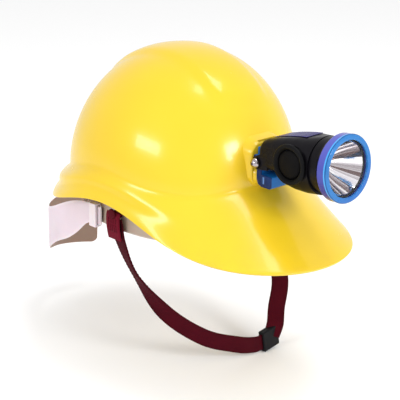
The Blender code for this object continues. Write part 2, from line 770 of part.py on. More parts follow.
def make_barrel():
    """The round front barrel that carries the optics."""
    length = BODY_FRONT - BODY_SPLIT - GAP
    wall = HOUSING_WALL
    profile = [
        (BARREL_RADIUS, length), (BARREL_RADIUS, length - 3.0), (BARREL_NECK + 0.8, length - 5.2),
        (BARREL_NECK, length - 7.6), (BARREL_NECK, 0.8), (BARREL_NECK - 0.4, 0.0),
        (BARREL_NECK - wall, 0.0), (BARREL_NECK - wall, length - 6.4), (BARREL_RADIUS - wall, length - 2.6),
        (BARREL_RADIUS - wall, length),
    ]
    return along_axis("head_barrel", profile, BODY_SPLIT + GAP, BLACK, 40)


def along_axis(name, profile, forward, finish, steps=36):
    """A turned piece on the lamp's axis; heights run forward from the given distance."""
    return hang(turned(name, profile, (0, -forward, LAMP_AXIS_Z), (0, -1, 0), finish, steps))


def make_optics():
    """Bezel, lens and seal, reflector, emitter, board and heat sink."""
    length = BEZEL_FRONT - BEZEL_BACK
    back = BEZEL_BACK
    seat = length - BEZEL_LIP
    bezel = [
        (BEZEL_RADIUS - 0.9, length), (BEZEL_RADIUS, length - 1.0), (BEZEL_RADIUS - 0.2, 1.0),
        (BEZEL_RADIUS - 1.0, 0.0), (BARREL_BORE, 0.0), (BARREL_BORE, length - 5.6),
        (LENS_RADIUS + 0.4, length - 5.6), (LENS_RADIUS + 0.4, seat), (LENS_RADIUS - 1.1, seat),
        (LENS_RADIUS - 0.8, length),
    ]
    along_axis("bezel_ring", bezel, back, BLUE, 40)
    lens_at = BEZEL_FRONT - BEZEL_LIP - GAP - LENS_WALL
    lens = [(0.0, LENS_WALL), (LENS_RADIUS, LENS_WALL), (LENS_RADIUS, 0.0), (0.0, 0.0)]
    along_axis("lens", lens, lens_at, CLEAR, 48)
    seal_wall = 1.2
    seal_at = lens_at - GAP - seal_wall
    seal = [
        (LENS_RADIUS, seal_wall), (LENS_RADIUS, 0.0), (REFLECTOR_RADIUS + 0.1, 0.0),
        (REFLECTOR_RADIUS + 0.1, seal_wall),
    ]
    along_axis("lens_seal", seal, seal_at, RUBBER, 36)
    deep = REFLECTOR_DEPTH
    front = seal_at + seal_wall - 0.2
    outer, inner = [], []
    for k in range(7):
        share = k / 6
        radius = 5.0 + (REFLECTOR_RADIUS - 1.0 - 5.0) * share
        height = deep * (share * 0.35 + share**2 * 0.65)
        outer.append((radius, height))
        inner.append((radius - 0.9, height + 0.5))
    bowl = list(reversed(outer)) + inner
    along_axis("reflector", bowl, front - deep, CHROME, 32)
    base = front - deep
    along_axis("led_board", [(0.0, 1.2), (9.0, 1.2), (9.0, 0.0), (0.0, 0.0)], base - GAP - 1.2, BOARD, 24)
    emitter = [(0.0, 3.0), (1.6, 2.6), (2.6, 1.5), (3.0, 0.0), (0.0, 0.0)]
    along_axis("led_emitter", emitter, base, PHOSPHOR, 24)
    sink_at = base - 2 * GAP - 1.2
    sink = [
        (0.0, 0.0), (12.0, 0.0), (12.0, -2.0), (9.0, -2.0), (9.0, -4.0), (12.0, -4.0), (12.0, -6.0),
        (9.0, -6.0), (9.0, -8.0), (12.0, -8.0), (12.0, -10.0), (0.0, -10.0),
    ]
    along_axis("heat_sink", sink, sink_at, ALUMINIUM, 24)
    driver = box(
        "driver_board", (-14.0, -(sink_at - 10.0 - GAP), LAMP_AXIS_Z - 9.0),
        (14.0, -(sink_at - 11.6 - GAP), LAMP_AXIS_Z + 13.0), BOARD,
    )
    hang(driver)
    pack = box(
        "battery_pack", (-13.5, -(sink_at - 12.0 - 2 * GAP), LAMP_AXIS_Z - 2.4),
        (13.5, -(BODY_RINGS[0][0] + 0.5), LAMP_AXIS_Z + 11.0), CELL, 2.0,
    )
    hang(pack)


def make_switch():
    """The round switch on the right-hand side: collar, rubber button and the switch it works."""
    origin = (-COLLAR_FACE, -BUTTON_FORWARD, LAMP_AXIS_Z + BUTTON_UP)
    collar = [
        (COLLAR_RADIUS - 1.2, 0.0), (COLLAR_RADIUS, -1.2), (COLLAR_RADIUS, -2.6), (COLLAR_BORE - GAP, -2.6),
        (COLLAR_BORE - GAP, -7.5), (BUTTON_RADIUS + GAP, -7.5), (BUTTON_RADIUS + GAP, -2.2),
        (COLLAR_RADIUS - 3.0, 0.0),
    ]
    hang(turned("switch_collar", collar, origin, (-1, 0, 0), BLACK, 36))
    button = [
        (0.0, -0.4), (7.0, -0.8), (BUTTON_RADIUS - 1.2, -1.6), (BUTTON_RADIUS, -2.8),
        (BUTTON_RADIUS, -6.0), (0.0, -6.0),
    ]
    hang(turned("power_button", button, origin, (-1, 0, 0), RUBBER, 36))
    body = [(0.0, 0.0), (5.0, 0.0), (5.0, -4.0), (0.0, -4.0)]
    rear = (origin[0] + 6.0 + BUTTON_TRAVEL + GAP, origin[1], origin[2])
    hang(turned("switch_body", body, rear, (-1, 0, 0), STEEL, 16))


def make_contacts():
    """Two charging studs on the far side, and the label on top."""
    for index, up in enumerate((-4.0, 8.0)):
        origin = (REAR_HALF + 1.0 + GAP + 1.5, -131.0, LAMP_AXIS_Z + up)
        stud = [(0.0, 0.0), (2.0, -0.2), (2.6, -0.9), (2.6, -1.5), (0.0, -1.5)]
        hang(turned(f"charge_stud_{index + 1}", stud, origin, (1, 0, 0), BRASS, 16))
    spine = [(120.0 + 2.0, 16.44)] + [(ring[0], ring[3]) for ring in BODY_RINGS[1:5]] + [(157.0, 21.79)]
    edges = [
        [(side * LABEL_HALF, -forward, LAMP_AXIS_Z + top + GAP) for forward, top in spine]
        for side in (-1, 1)
    ]
    label = strip("top_label", edges[0], edges[1], 0.3, LABEL, offset=1.0)
    hang(label)


def make_pivot():
    """The tilt bolt with its dome head on the right, washer and nut on the left."""
    face = EAR_INNER + EAR_WALL
    span = 2 * face
    profile = [(0.0, BOLT_HEAD)]
    for k in range(1, 5):
        turn = radians(22.5 * k)
        profile.append((BOLT_HEAD * sin(turn), GAP + (BOLT_HEAD - GAP) * cos(turn)))
    profile += [(PIVOT_RADIUS, GAP), (PIVOT_RADIUS, -span - 3.2), (0.0, -span - 3.2)]
    hang(turned("pivot_bolt", profile, (-face, -PIVOT_FORWARD, PIVOT_Z), (-1, 0, 0), CHROME, 24))
    nut = cylinder(
        "pivot_nut", (face + GAP, -PIVOT_FORWARD, PIVOT_Z), (1, 0, 0), 3.6, 2.6, STEEL, 6
    )
    bore = cylinder(
        "nut_bore", (face - 1, -PIVOT_FORWARD, PIVOT_Z), (1, 0, 0),
        PIVOT_RADIUS + GAP, 6.0, None, 16, cutters,
    )
    boolean(nut, bore)
    hang(nut)
    hang(bore)


def make_bracket():
    """The blue bracket: a tongue in the boss, a neck, a plate, a foot and the pivot's knuckle."""
    back = BOSS_FACE + GAP
    front = back + BRACKET_WALL
    foot_back = CHIN_FACE + GAP
    shelf = SEAT_BOTTOM + 0.7
    crest = BOSS_TOP - 2.0
    knuckle = [
        (PIVOT_FORWARD + 4.0 * cos(a), PIVOT_Z + 4.0 * sin(a))
        for a in [radians(-30 + 20.5 * k) for k in range(8)]
    ]
    profile = [
        (back, shelf), (foot_back, shelf), (foot_back, FOOT_BOTTOM + 6.0),
        (foot_back + 1.8, FOOT_BOTTOM + 1.8), (foot_back + 6.0, FOOT_BOTTOM),
        (FOOT_FRONT - 1.5, FOOT_BOTTOM), (FOOT_FRONT, FOOT_BOTTOM + 1.5), (FOOT_FRONT, FOOT_TOP - 0.8),
        (FOOT_FRONT - 0.8, FOOT_TOP), (WEB_FRONT, FOOT_TOP), (WEB_FRONT, PIVOT_Z - 2.4),
    ] + knuckle + [(front, PIVOT_Z + 4.5), (front, crest), (back, crest)]
    bracket = outline_plate("bracket", profile, 2 * BRACKET_HALF, BLUE)
    bracket.rotation_euler = (pi / 2, 0, -pi / 2)
    for side, word in ((-1, "right"), (1, "left")):
        trim = box(
            f"bracket_trim_{word}", (13.0, -front - 3, PIVOT_Z + 5.2), (30.0, -back + 3, BOSS_TOP + 5),
            None, 0.0, cutters,
        )
        groove = box(
            f"bracket_groove_{word}", (BRACKET_HALF - 0.9, -117.4, 52.8), (BRACKET_HALF + 5, -115.2, 59.0),
            None, 0.0, cutters,
        )
        for cutter in (trim, groove):
            cutter.location.x *= side
            boolean(bracket, cutter)
    neck = box(
        "bracket_neck", (-NECK_HALF, -back - 1.0, BOSS_TOP - POCKET_DEEP + GAP),
        (NECK_HALF, -BOSS_FACE + 3.0, crest - 1.0), None, 0.0, cutters,
    )
    tongue_back = BOSS_FACE - POCKET_WALL - GAP
    tongue = box(
        "bracket_tongue", (-TONGUE_HALF, -tongue_back, BOSS_TOP - POCKET_DEEP + GAP),
        (TONGUE_HALF, -tongue_back + TONGUE_WALL, crest), None, 0.0, cutters,
    )
    bore = cylinder(
        "bracket_bore", (-30, -PIVOT_FORWARD, PIVOT_Z), (1, 0, 0),
        PIVOT_RADIUS + GAP, 60.0, None, 16, cutters,
    )
    boolean(bracket, neck, "UNION")
    boolean(bracket, tongue, "UNION")
    boolean(bracket, bore)
    return smooth(bracket)


# ---------------------------------------------------------------- strap fittings
def make_fittings():
    """Studs, hooks, buckle and keeper of the chin strap."""
    for side, word in ((-1, "right"), (1, "left")):
        inner = BAND_HALF_WIDTH + 1.0
        stud = [
            (0.0, 9.9), (4.0, 9.7), (4.6, 9.1), (4.6, 8.3), (2.6, 8.3), (2.6, 1.4), (5.0, 1.4),
            (5.0, 0.0), (0.0, 0.0),
        ]
        turned(f"strap_stud_{word}", stud, (side * inner, ANCHOR_Y, ANCHOR_Z), (side, 0, 0), WHITE, 20)
        outline = rounded_rectangle(STRAP_WIDTH / 2 + 1.0, 9.0, 4.0, 3)
        hook = outline_plate(f"strap_hook_{word}", outline, 2.0, BLACK)
        hook.rotation_euler = (pi / 2, 0, pi / 2)
        hook.location = to_m((side * (ANCHOR_X + 2.8), ANCHOR_Y, ANCHOR_Z - 3.5))
        bore = cylinder(
            f"hook_bore_{word}", (side * 70, ANCHOR_Y, ANCHOR_Z), (side, 0, 0), 2.6 + GAP, 30.0, None, 20,
            cutters,
        )
        boolean(hook, bore)
    reach = STRAP_WIDTH / 2 + 0.6
    frame = box("buckle", (-10.0, -3.4, -reach - 1.6), (10.0, 3.4, reach + 1.6), BLACK, 1.0)
    slot = box("buckle_slot", (-40.0, -1.9, -reach), (40.0, 1.9, reach), None, 0.0, cutters)
    for piece in (frame, slot):
        piece.location = to_m(BUCKLE_AT)
        piece.rotation_euler = (0, radians(-10), 0)
    boolean(frame, slot)




def finish_scene():
    """Hides every helper."""
    for helper in cutters.objects:
        helper.hide_render = True
        helper.display_type = "WIRE"


LAMP_FRAME = bpy.data.objects.new("lamp_frame", None)
parts.objects.link(LAMP_FRAME)
LAMP_FRAME.location = to_m((0, -PIVOT_FORWARD, PIVOT_Z))
LAMP_FRAME.rotation_euler = (radians(-LAMP_TILT), 0, 0)
make_shell()
make_boss()
make_boss_screws()
make_headband()
make_lugs()
make_cradle()
make_nape()
make_chin_strap()
make_fittings()
make_bracket()
make_pivot()
make_rear_housing()
make_barrel()
make_optics()
make_switch()
make_contacts()
finish_scene()
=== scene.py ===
"""Miner's helmet with a cordless cap lamp: finishes, soft parts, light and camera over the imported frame."""

from math import atan2, cos, degrees, pi, radians, sin

import bmesh
import bpy
import numpy as np
from mathutils import Matrix, Vector


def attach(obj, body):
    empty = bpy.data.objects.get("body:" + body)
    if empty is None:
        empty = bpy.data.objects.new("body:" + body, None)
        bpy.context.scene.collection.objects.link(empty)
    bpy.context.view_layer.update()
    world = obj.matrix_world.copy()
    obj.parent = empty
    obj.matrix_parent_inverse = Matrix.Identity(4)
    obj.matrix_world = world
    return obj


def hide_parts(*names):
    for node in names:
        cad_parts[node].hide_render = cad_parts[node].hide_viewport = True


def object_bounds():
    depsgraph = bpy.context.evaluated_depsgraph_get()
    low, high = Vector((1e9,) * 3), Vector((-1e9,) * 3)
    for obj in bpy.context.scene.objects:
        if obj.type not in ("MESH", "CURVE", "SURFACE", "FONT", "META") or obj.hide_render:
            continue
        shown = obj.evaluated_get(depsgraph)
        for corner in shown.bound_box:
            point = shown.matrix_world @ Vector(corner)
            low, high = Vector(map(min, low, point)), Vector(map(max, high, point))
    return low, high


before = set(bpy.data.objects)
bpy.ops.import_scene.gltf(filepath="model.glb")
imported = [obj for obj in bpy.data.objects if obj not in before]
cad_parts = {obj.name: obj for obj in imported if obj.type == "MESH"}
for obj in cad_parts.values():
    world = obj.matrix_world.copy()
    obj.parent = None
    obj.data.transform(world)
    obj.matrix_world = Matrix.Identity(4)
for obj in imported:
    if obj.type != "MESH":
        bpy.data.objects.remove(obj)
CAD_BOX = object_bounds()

MM = 0.001

# ---------------------------------------------------------------- sizes shared with the solids, mm
DOME_HALF_WIDTH = 95.5
DOME_FRONT = 103.5
DOME_REAR = 110.5
CROWN_HEIGHT = 148.5
PLAN_POWER = 2.13
PROFILE_POWER_R = 2.18
PROFILE_POWER_Z = 1.86
CREASE_HEIGHT = (47.0, 42.0, 56.0, 39.0, 34.0)
OVERHANG = (75.0, 28.0, 10.0, 16.5, 14.0)
RIM_HEIGHT = (-7.0, 2.0, 28.0, 9.0, 16.0)
SHELL_WALL = 2.6
CREST_HEIGHT = 2.6
CREST_HALF_WIDTH = 27.0
CREST_BOTTOM = 108.0

BAND_HALF_WIDTH = 79.0
BAND_FRONT = 90.0
BAND_REAR = 88.0
BAND_BOTTOM = -4.0
BAND_TALL = 25.0
NAPE_REACH = 156.0
NAPE_ARM_TALL = 16.0
NAPE_PAD_END = 22.0
NAPE_DROP = 34.0
NAPE_START = 34.0
# the nape strap's lower edge: degrees round the head from the front by the left, and height
NAPE_LOW = (
    (170, -86), (180, -80), (190, -75), (200, -70), (208, -58),
    (216, -45), (226, -34), (234, -23), (243, -8), (252, -6),
)
NAPE_TAIL = 20.0
WEB_WIDTH = 20.0
CRADLE_RISE = 78.0

LAMP_TILT = 3.1
LAMP_AXIS_Z = 76.0
LAMP_REAR = 111.0
BODY_SPLIT = 170.0
BODY_FRONT = 186.0
REAR_HALF = 21.0
MOUTH = 24.6
MOUTH_DROP = 1.0
BARREL_NECK = 23.4
BARREL_RADIUS = 26.0
REAR_RINGS = (
    (LAMP_REAR, REAR_HALF - 6.5, -3.0, 4.0, 3.4),
    (LAMP_REAR + 0.4, REAR_HALF - 4.5, -5.4, 7.0, 5.0),
    (LAMP_REAR + 1.4, REAR_HALF - 2.4, -7.8, 10.0, 6.5),
    (LAMP_REAR + 3.0, REAR_HALF - 0.8, -9.2, 12.6, 7.0),
    (LAMP_REAR + 5.5, REAR_HALF - 0.2, -10.2, 14.8, 7.0),
)
BODY_RINGS = (
    (120.0, REAR_HALF, -10.8, 16.0, 7.0),
    (130.0, REAR_HALF + 0.6, -11.6, 18.2, 8.0),
    (134.0, REAR_HALF + 1.0, -15.2, 19.0, 9.0),
    (140.0, REAR_HALF + 1.6, -20.0, 20.0, 10.5),
    (150.0, REAR_HALF + 2.4, -23.0, 21.3, 14.0),
    (160.0, REAR_HALF + 3.2, -24.6, 22.0, 18.0),
    (BODY_SPLIT, MOUTH, -MOUTH - MOUTH_DROP, MOUTH - MOUTH_DROP, MOUTH),
)
BEZEL_BACK = 183.2
BEZEL_FRONT = 193.0
BEZEL_RADIUS = 28.5
BEZEL_LIP = 1.2
BARREL_BORE = 26.3
LENS_RADIUS = 24.5
LENS_WALL = 2.4
REFLECTOR_RADIUS = 23.4
REFLECTOR_DEPTH = 22.0
PIVOT_FORWARD = 110.5
PIVOT_Z = 70.7
EAR_INNER = 18.6
EAR_WALL = 3.0
BOLT_HEAD = 4.5
WEB_FRONT = 114.0
BUTTON_FORWARD = 152.5
BUTTON_UP = 1.5
BUTTON_RADIUS = 12.0
COLLAR_FACE = 28.2
COLLAR_RADIUS = 17.0
COLLAR_BORE = 14.5
BOSS_FACE = 104.5
BOSS_TOP = 84.0
SEAT_BOTTOM = 65.3
CHIN_FACE = 108.4

ANCHOR_X = BAND_HALF_WIDTH + 5.0
ANCHOR_Y = -4.0
ANCHOR_Z = 13.0
STRAP_WIDTH = 16.0
STRAP_WALL = 1.6


# ---------------------------------------------------------------- finishes
class Value:
    """A shader socket that takes part in ordinary sums."""

    def __init__(self, finish, socket):
        self.finish = finish
        self.socket = socket

    def maths(self, word, other=None, swapped=False):
        values = {0: self} if other is None else {0: self, 1: other}
        if swapped:
            values = {0: other, 1: self}
        return self.finish.node("ShaderNodeMath", {"operation": word}, values)

    def __add__(self, other):
        return self.maths("ADD", other)

    def __radd__(self, other):
        return self.maths("ADD", other)

    def __sub__(self, other):
        return self.maths("SUBTRACT", other)

    def __rsub__(self, other):
        return self.maths("SUBTRACT", other, True)

    def __mul__(self, other):
        return self.maths("MULTIPLY", other)

    def __rmul__(self, other):
        return self.maths("MULTIPLY", other)

    def __truediv__(self, other):
        return self.maths("DIVIDE", other)

    def __pow__(self, other):
        return self.maths("POWER", other)

    def sine(self):
        return self.maths("SINE")

    def size(self):
        return self.maths("ABSOLUTE")

    def clip(self, low, high):
        """0 below low and 1 above high, straight between."""
        settings = {"clamp": True}
        values = {"Value": self, "From Min": low, "From Max": high, "To Min": 0.0, "To Max": 1.0}
        return self.finish.node("ShaderNodeMapRange", settings, values)

    def part(self, name):
        return Value(self.finish, self.socket.node.outputs[name])


class Finish:
    """One material, with its Principled shader and the nodes that feed it."""

    def __init__(self, name, **constants):
        self.material = bpy.data.materials.new(name)
        self.material.use_nodes = True
        self.tree = self.material.node_tree
        self.shader = self.tree.nodes["Principled BSDF"]
        for word, value in constants.items():
            self.shader.inputs[word.replace("_", " ")].default_value = value
        self.place = self.node("ShaderNodeTexCoord", {}, {}, "Object")

    def node(self, kind, settings, values, output=0):
        """Makes any node: its settings first, then the values or links of its sockets."""
        made = self.tree.nodes.new(kind)
        for word, value in settings.items():
            if word == "stops":
                ramp = made.color_ramp
                while len(ramp.elements) < len(value):
                    ramp.elements.new(0.5)
                for element, (where, colour) in zip(ramp.elements, value):
                    element.position = where
                    element.color = (*colour, 1.0)
            else:
                setattr(made, word, value)
        for word, value in values.items():
            socket = made.inputs[word]
            if isinstance(value, Value):
                self.tree.links.new(value.socket, socket)
            elif isinstance(value, tuple) and len(value) == 3 and socket.type == "RGBA":
                socket.default_value = (*value, 1.0)
            else:
                socket.default_value = value
        return Value(self, made.outputs[output])

    def feed(self, **inputs):
        """Links values into the Principled shader."""
        for word, value in inputs.items():
            self.tree.links.new(value.socket, self.shader.inputs[word.replace("_", " ")])
        return self

    def noise(self, scale, detail=3.0, rough=0.5, at=None, stretch=None):
        at = at or self.place
        if stretch:
            at = self.node("ShaderNodeMapping", {}, {"Vector": at, "Scale": stretch})
        values = {"Vector": at, "Scale": scale, "Detail": detail, "Roughness": rough}
        return self.node("ShaderNodeTexNoise", {}, values)

    def cells(self, scale, feature="F1", at=None):
        values = {"Vector": at or self.place, "Scale": scale}
        return self.node("ShaderNodeTexVoronoi", {"feature": feature}, values)

    def mix(self, share, a, b, blend="MIX"):
        """Mixes two colours."""
        settings = {"data_type": "RGBA", "blend_type": blend, "clamp_factor": True}
        return self.node("ShaderNodeMix", settings, {0: share, 6: a, 7: b}, 2)

    def axes(self, at=None):
        """The three numbers of a position."""
        split = self.node("ShaderNodeSeparateXYZ", {}, {"Vector": at or self.place})
        return split.part("X"), split.part("Y"), split.part("Z")

    def lamp_axes(self):
        """Sideways, forward and up in metres, measured from the lamp's own axis."""
        x, y, z = self.axes()
        c, s = cos(radians(LAMP_TILT)), sin(radians(LAMP_TILT))
        px, pz, rise = PIVOT_FORWARD * MM, PIVOT_Z * MM, (LAMP_AXIS_Z - PIVOT_Z) * MM
        forward = z * s - y * c - (px * c + pz * s - px)
        up = z * c + y * s - (pz * c - px * s + rise)
        return x, forward, up

    def along(self):
        """The piece's own map in metres: along it, and across it."""
        spot = self.node("ShaderNodeUVMap", {"uv_map": "cloth"}, {})
        return spot, *self.axes(spot)[:2]

    def bump(self, height, strength, distance, under=None):
        values = {"Strength": strength, "Distance": distance, "Height": height}
        if under is not None:
            values["Normal"] = under
        return self.node("ShaderNodeBump", {}, values)

    def edges(self, low, high):
        """Where the surface bends outwards sharply: 0 on flats, 1 on worn edges."""
        curve = self.node("ShaderNodeNewGeometry", {}, {}, "Pointiness")
        return curve.clip(low, high)


def shell_finish():
    """Glossy moulded shell: slight orange peel, faint cloudiness, small scuffs and dust near the rim."""
    f = Finish("shell_gloss", Coat_Roughness=0.06, Specular_IOR_Level=0.4, IOR=1.45)
    cloud = f.noise(9.0, 3.0)
    fine = f.noise(160.0, 2.0)
    colour = f.mix(cloud.clip(0.3, 0.7), (0.70, 0.475, 0.016), (0.75, 0.52, 0.022))
    _, _, up = f.axes()
    low = 1 - up.clip(-0.01, 0.035)
    dust = low * f.noise(55.0, 4.0, 0.6).clip(0.45, 0.75) * 0.35
    colour = f.mix(dust, colour, (0.60, 0.38, 0.03))
    scuff = f.noise(30.0, 5.0, 0.7, stretch=(1.0, 0.25, 3.0)).clip(0.62, 0.74)
    peel = f.noise(420.0, 1.0)
    wave = f.noise(24.0, 1.0)
    under = f.bump(peel, 0.05, 0.0002)
    normal = f.bump(wave, 0.10, 0.0012, under)
    rough = 0.20 + fine * 0.04 + scuff * 0.08 + dust * 0.25
    return f.feed(Base_Color=colour, Roughness=rough, Coat_Weight=0.18 - scuff * 0.1, Normal=normal).material


def milky_finish(name, pale, deep, rough=0.42, inner=None):
    """Translucent moulded plastic for the suspension, with painted shade in beige on the side that faces the
    head.
    """
    f = Finish(name, Subsurface_Weight=0.15, Subsurface_Scale=0.004, Specular_IOR_Level=0.45)
    cloud = f.noise(22.0, 3.0)
    flow = f.noise(60.0, 2.0, stretch=(0.4, 0.4, 3.0))
    colour = f.mix(cloud.clip(0.3, 0.7) * 0.8, pale, deep)
    colour = f.mix(f.edges(0.52, 0.6) * 0.4, colour, (0.86, 0.84, 0.82))
    # painted shade: the side that faces the head is coloured in the given inner beige
    if inner:
        x, y, _ = f.axes()
        flat = f.node("ShaderNodeCombineXYZ", {}, {"X": x, "Y": y - 0.04})
        normal = f.node("ShaderNodeNewGeometry", {}, {}, "Normal")
        inner_shade_facing = f.node("ShaderNodeVectorMath", {"operation": "DOT_PRODUCT"}, {0: normal, 1: flat}, "Value")
        colour = f.mix(1 - inner_shade_facing.clip(-0.03, -0.01), colour, inner)
    normal = f.bump(f.noise(900.0, 2.0), 0.08, 0.0001, f.bump(flow, 0.12, 0.0006))
    return f.feed(Base_Color=colour, Roughness=rough + flow * 0.14 - 0.05, Normal=normal).material


def black_finish(name, base=(0.0035, 0.003, 0.0045), rough=0.27, grain=0.12):
    """Satin black moulding with a fine spark texture, rubbed a little paler on its edges."""
    f = Finish(name, Specular_IOR_Level=0.10)
    speck = f.cells(2600.0)
    cloud = f.noise(40.0, 4.0, 0.6)
    worn = f.edges(0.53, 0.62)
    lighter = tuple(min(1.0, c * 2.0 + 0.003) for c in base)
    colour = f.mix(cloud.clip(0.35, 0.75) * 0.45, base, lighter)
    colour = f.mix(worn * 0.3, colour, tuple(c * 2 + 0.008 for c in base))
    smear = f.noise(18.0, 5.0, 0.65, stretch=(1.0, 0.5, 2.0)).clip(0.5, 0.75)
    normal = f.bump(speck, grain, 0.00012)
    rough = rough + cloud * 0.12 + smear * 0.12 - 0.05
    return f.feed(Base_Color=colour, Roughness=rough, Normal=normal).material


def blue_finish(name, base, light, metal=0.0, rough=0.24):
    """Coloured plastic with a coat, mould marks and rubbed corners."""
    f = Finish(name, Metallic=metal, Coat_Roughness=0.08, Specular_IOR_Level=0.5)
    cloud = f.noise(50.0, 3.0)
    colour = f.mix(cloud.clip(0.3, 0.72), base, light)
    colour = f.mix(f.edges(0.53, 0.63) * 0.55, colour, tuple(min(1.0, c * 1.5 + 0.06) for c in light))
    scuff = f.noise(120.0, 5.0, 0.7, stretch=(1.0, 3.0, 0.6)).clip(0.6, 0.72)
    normal = f.bump(f.noise(700.0, 2.0), 0.06, 0.0001)
    return f.feed(
        Base_Color=colour,
        Roughness=rough + scuff * 0.2 + cloud * 0.05,
        Coat_Weight=0.4 - scuff * 0.3,
        Normal=normal,
    ).material


def metal_finish(name, colour, rough, brushed=0.0, metallic=1.0):
    """Plated or turned metal."""
    f = Finish(name, Metallic=metallic)
    cloud = f.noise(90.0, 4.0)
    tone = tuple(c * 0.82 for c in colour)
    line = f.noise(500.0, 2.0, stretch=(1.0, 30.0, 1.0))
    normal = f.bump(line, 0.04 + brushed, 0.00006)
    return f.feed(
        Base_Color=f.mix(cloud.clip(0.3, 0.8) * 0.6, colour, tone),
        Roughness=rough + cloud * 0.08,
        Normal=normal,
    ).material


def reflector_finish():
    """Vacuum-plated bowl with painted reflections: long radial facets painted from bright to dark, with
    painted glints, rippled by the moulding below.
    """
    f = Finish("reflector_plating", Metallic=1.0)
    x, _, up = f.lamp_axes()
    spoke = f.node("ShaderNodeCombineXYZ", {}, {"X": x, "Z": up})
    aim = f.node("ShaderNodeVectorMath", {"operation": "NORMALIZE"}, {0: spoke})
    reflection_facet = f.node("ShaderNodeTexVoronoi", {}, {"Vector": aim, "Scale": 4.6}, "Color")
    tone, glint_share, _ = f.axes(reflection_facet)
    reflection_streak = f.noise(9.0, 2.0, at=aim)
    ripple = f.noise(70.0, 2.0)
    # painted reflections: the facets are coloured from dark brown-grey to bright
    colour = f.mix(tone.clip(0.4, 0.55), (0.16, 0.10, 0.095), (0.86, 0.82, 0.86))
    # painted reflection: darker streaks across the facets
    colour = f.mix(reflection_streak.clip(0.52, 0.6) * 0.6, colour, (0.30, 0.25, 0.26))
    # painted glints: some facets coloured near white
    colour = f.mix(glint_share.clip(0.62, 0.7) * 0.9, colour, (1.0, 0.99, 1.0))
    normal = f.bump(f.noise(380.0, 1.0), 0.05, 0.0002, f.bump(ripple, 0.2, 0.0008))
    return f.feed(Base_Color=colour, Roughness=0.06 + ripple * 0.05, Normal=normal).material


def bezel_finish():
    """Bezel: side band with painted lilac light toward the top, a painted highlight along the crest, and a
    clear blue front ring with painted shade low on the left side and round its outer edge.
    """
    f = Finish("bezel_blue", Coat_Roughness=0.08, Specular_IOR_Level=0.25)
    x, forward, up = f.lamp_axes()
    cloud = f.noise(50.0, 3.0)
    turn = (up * 0.8 - x * 0.6)
    ring = f.mix(cloud.clip(0.3, 0.72), (0.006, 0.12, 0.36), (0.012, 0.165, 0.46))
    # painted shade: the front ring is coloured darker low on the left side
    ring = f.mix(turn.clip(-0.005, -0.026) * 0.55, ring, (0.004, 0.07, 0.34))
    # painted light: the side band turns lilac toward the top and stays deep blue elsewhere
    side = f.mix(turn.clip(0.002, 0.028), (0.006, 0.018, 0.24), (0.075, 0.085, 0.42))
    back = BEZEL_FRONT * MM
    # painted highlight: a pale blue band along the crest just behind the front face
    colour = f.mix(forward.clip(back - 0.0030, back - 0.0024), side, (0.05, 0.36, 0.82))
    colour = f.mix(forward.clip(back - 0.0014, back - 0.0008), colour, ring)
    away = (x * x + up * up) ** 0.5
    # painted shade: a dark line round the outer edge of the front face
    rim = away.clip((BEZEL_RADIUS - 0.8) * MM, (BEZEL_RADIUS - 0.3) * MM)
    rim = rim * forward.clip(back - 0.0012, back - 0.0006)
    colour = f.mix(rim * 0.8, colour, (0.002, 0.02, 0.10))
    scuff = f.noise(120.0, 5.0, 0.7, stretch=(1.0, 3.0, 0.6)).clip(0.6, 0.72)
    normal = f.bump(f.noise(700.0, 2.0), 0.06, 0.0001)
    return f.feed(
        Base_Color=colour,
        Roughness=0.2 + scuff * 0.2 + cloud * 0.05,
        Coat_Weight=0.3 - scuff * 0.2,
        Normal=normal,
    ).material


def bracket_finish():
    """Bracket plastic: deep blue cheeks as painted shade, a clearer blue front and a painted highlight along
    the guide slots.
    """
    f = Finish("bracket_blue", Coat_Roughness=0.1, Specular_IOR_Level=0.15)
    x, y, z = f.axes()
    cloud = f.noise(50.0, 3.0)
    # painted shade: the side cheeks are coloured a deeper blue than the front
    cheek_shade = x.size().clip((EAR_INNER - 1.6) * MM, (EAR_INNER - 1.0) * MM)
    front = f.mix(cloud.clip(0.3, 0.7), (0.006, 0.12, 0.42), (0.012, 0.17, 0.52))
    colour = f.mix(cheek_shade, front, f.mix(cloud.clip(0.3, 0.7), (0.0015, 0.016, 0.085), (0.003, 0.028, 0.14)))
    forward = -1 * y
    # painted highlight: a pale band across the guide slots
    slot_highlight = forward.clip(0.1150, 0.1153) * (1 - forward.clip(0.1173, 0.1176))
    slot_highlight = slot_highlight * z.clip(0.0526, 0.0530) * (1 - z.clip(0.0588, 0.0592))
    colour = f.mix(slot_highlight * 0.7, colour, (0.20, 0.34, 0.62))
    scuff = f.noise(120.0, 5.0, 0.7, stretch=(1.0, 3.0, 0.6)).clip(0.6, 0.72)
    normal = f.bump(f.noise(700.0, 2.0), 0.06, 0.0001)
    return f.feed(
        Base_Color=colour,
        Roughness=0.28 + scuff * 0.2 + cloud * 0.05,
        Coat_Weight=0.08 - scuff * 0.05,
        Normal=normal,
    ).material


def lens_finish():
    """Clear flat lens with a hard coat and a few fine wipe marks."""
    f = Finish("lens_clear", Coat_Roughness=0.02, Specular_IOR_Level=0.6)
    wipe = f.noise(220.0, 4.0, 0.6, stretch=(1.0, 1.0, 8.0)).clip(0.6, 0.85)
    return f.feed(
        Base_Color=f.mix(wipe, (0.86, 0.92, 1.0), (0.95, 0.96, 1.0)),
        Roughness=0.02 + wipe * 0.08, Alpha=0.02 + wipe * 0.02, Coat_Weight=1.0 - wipe * 0.1,
    ).material


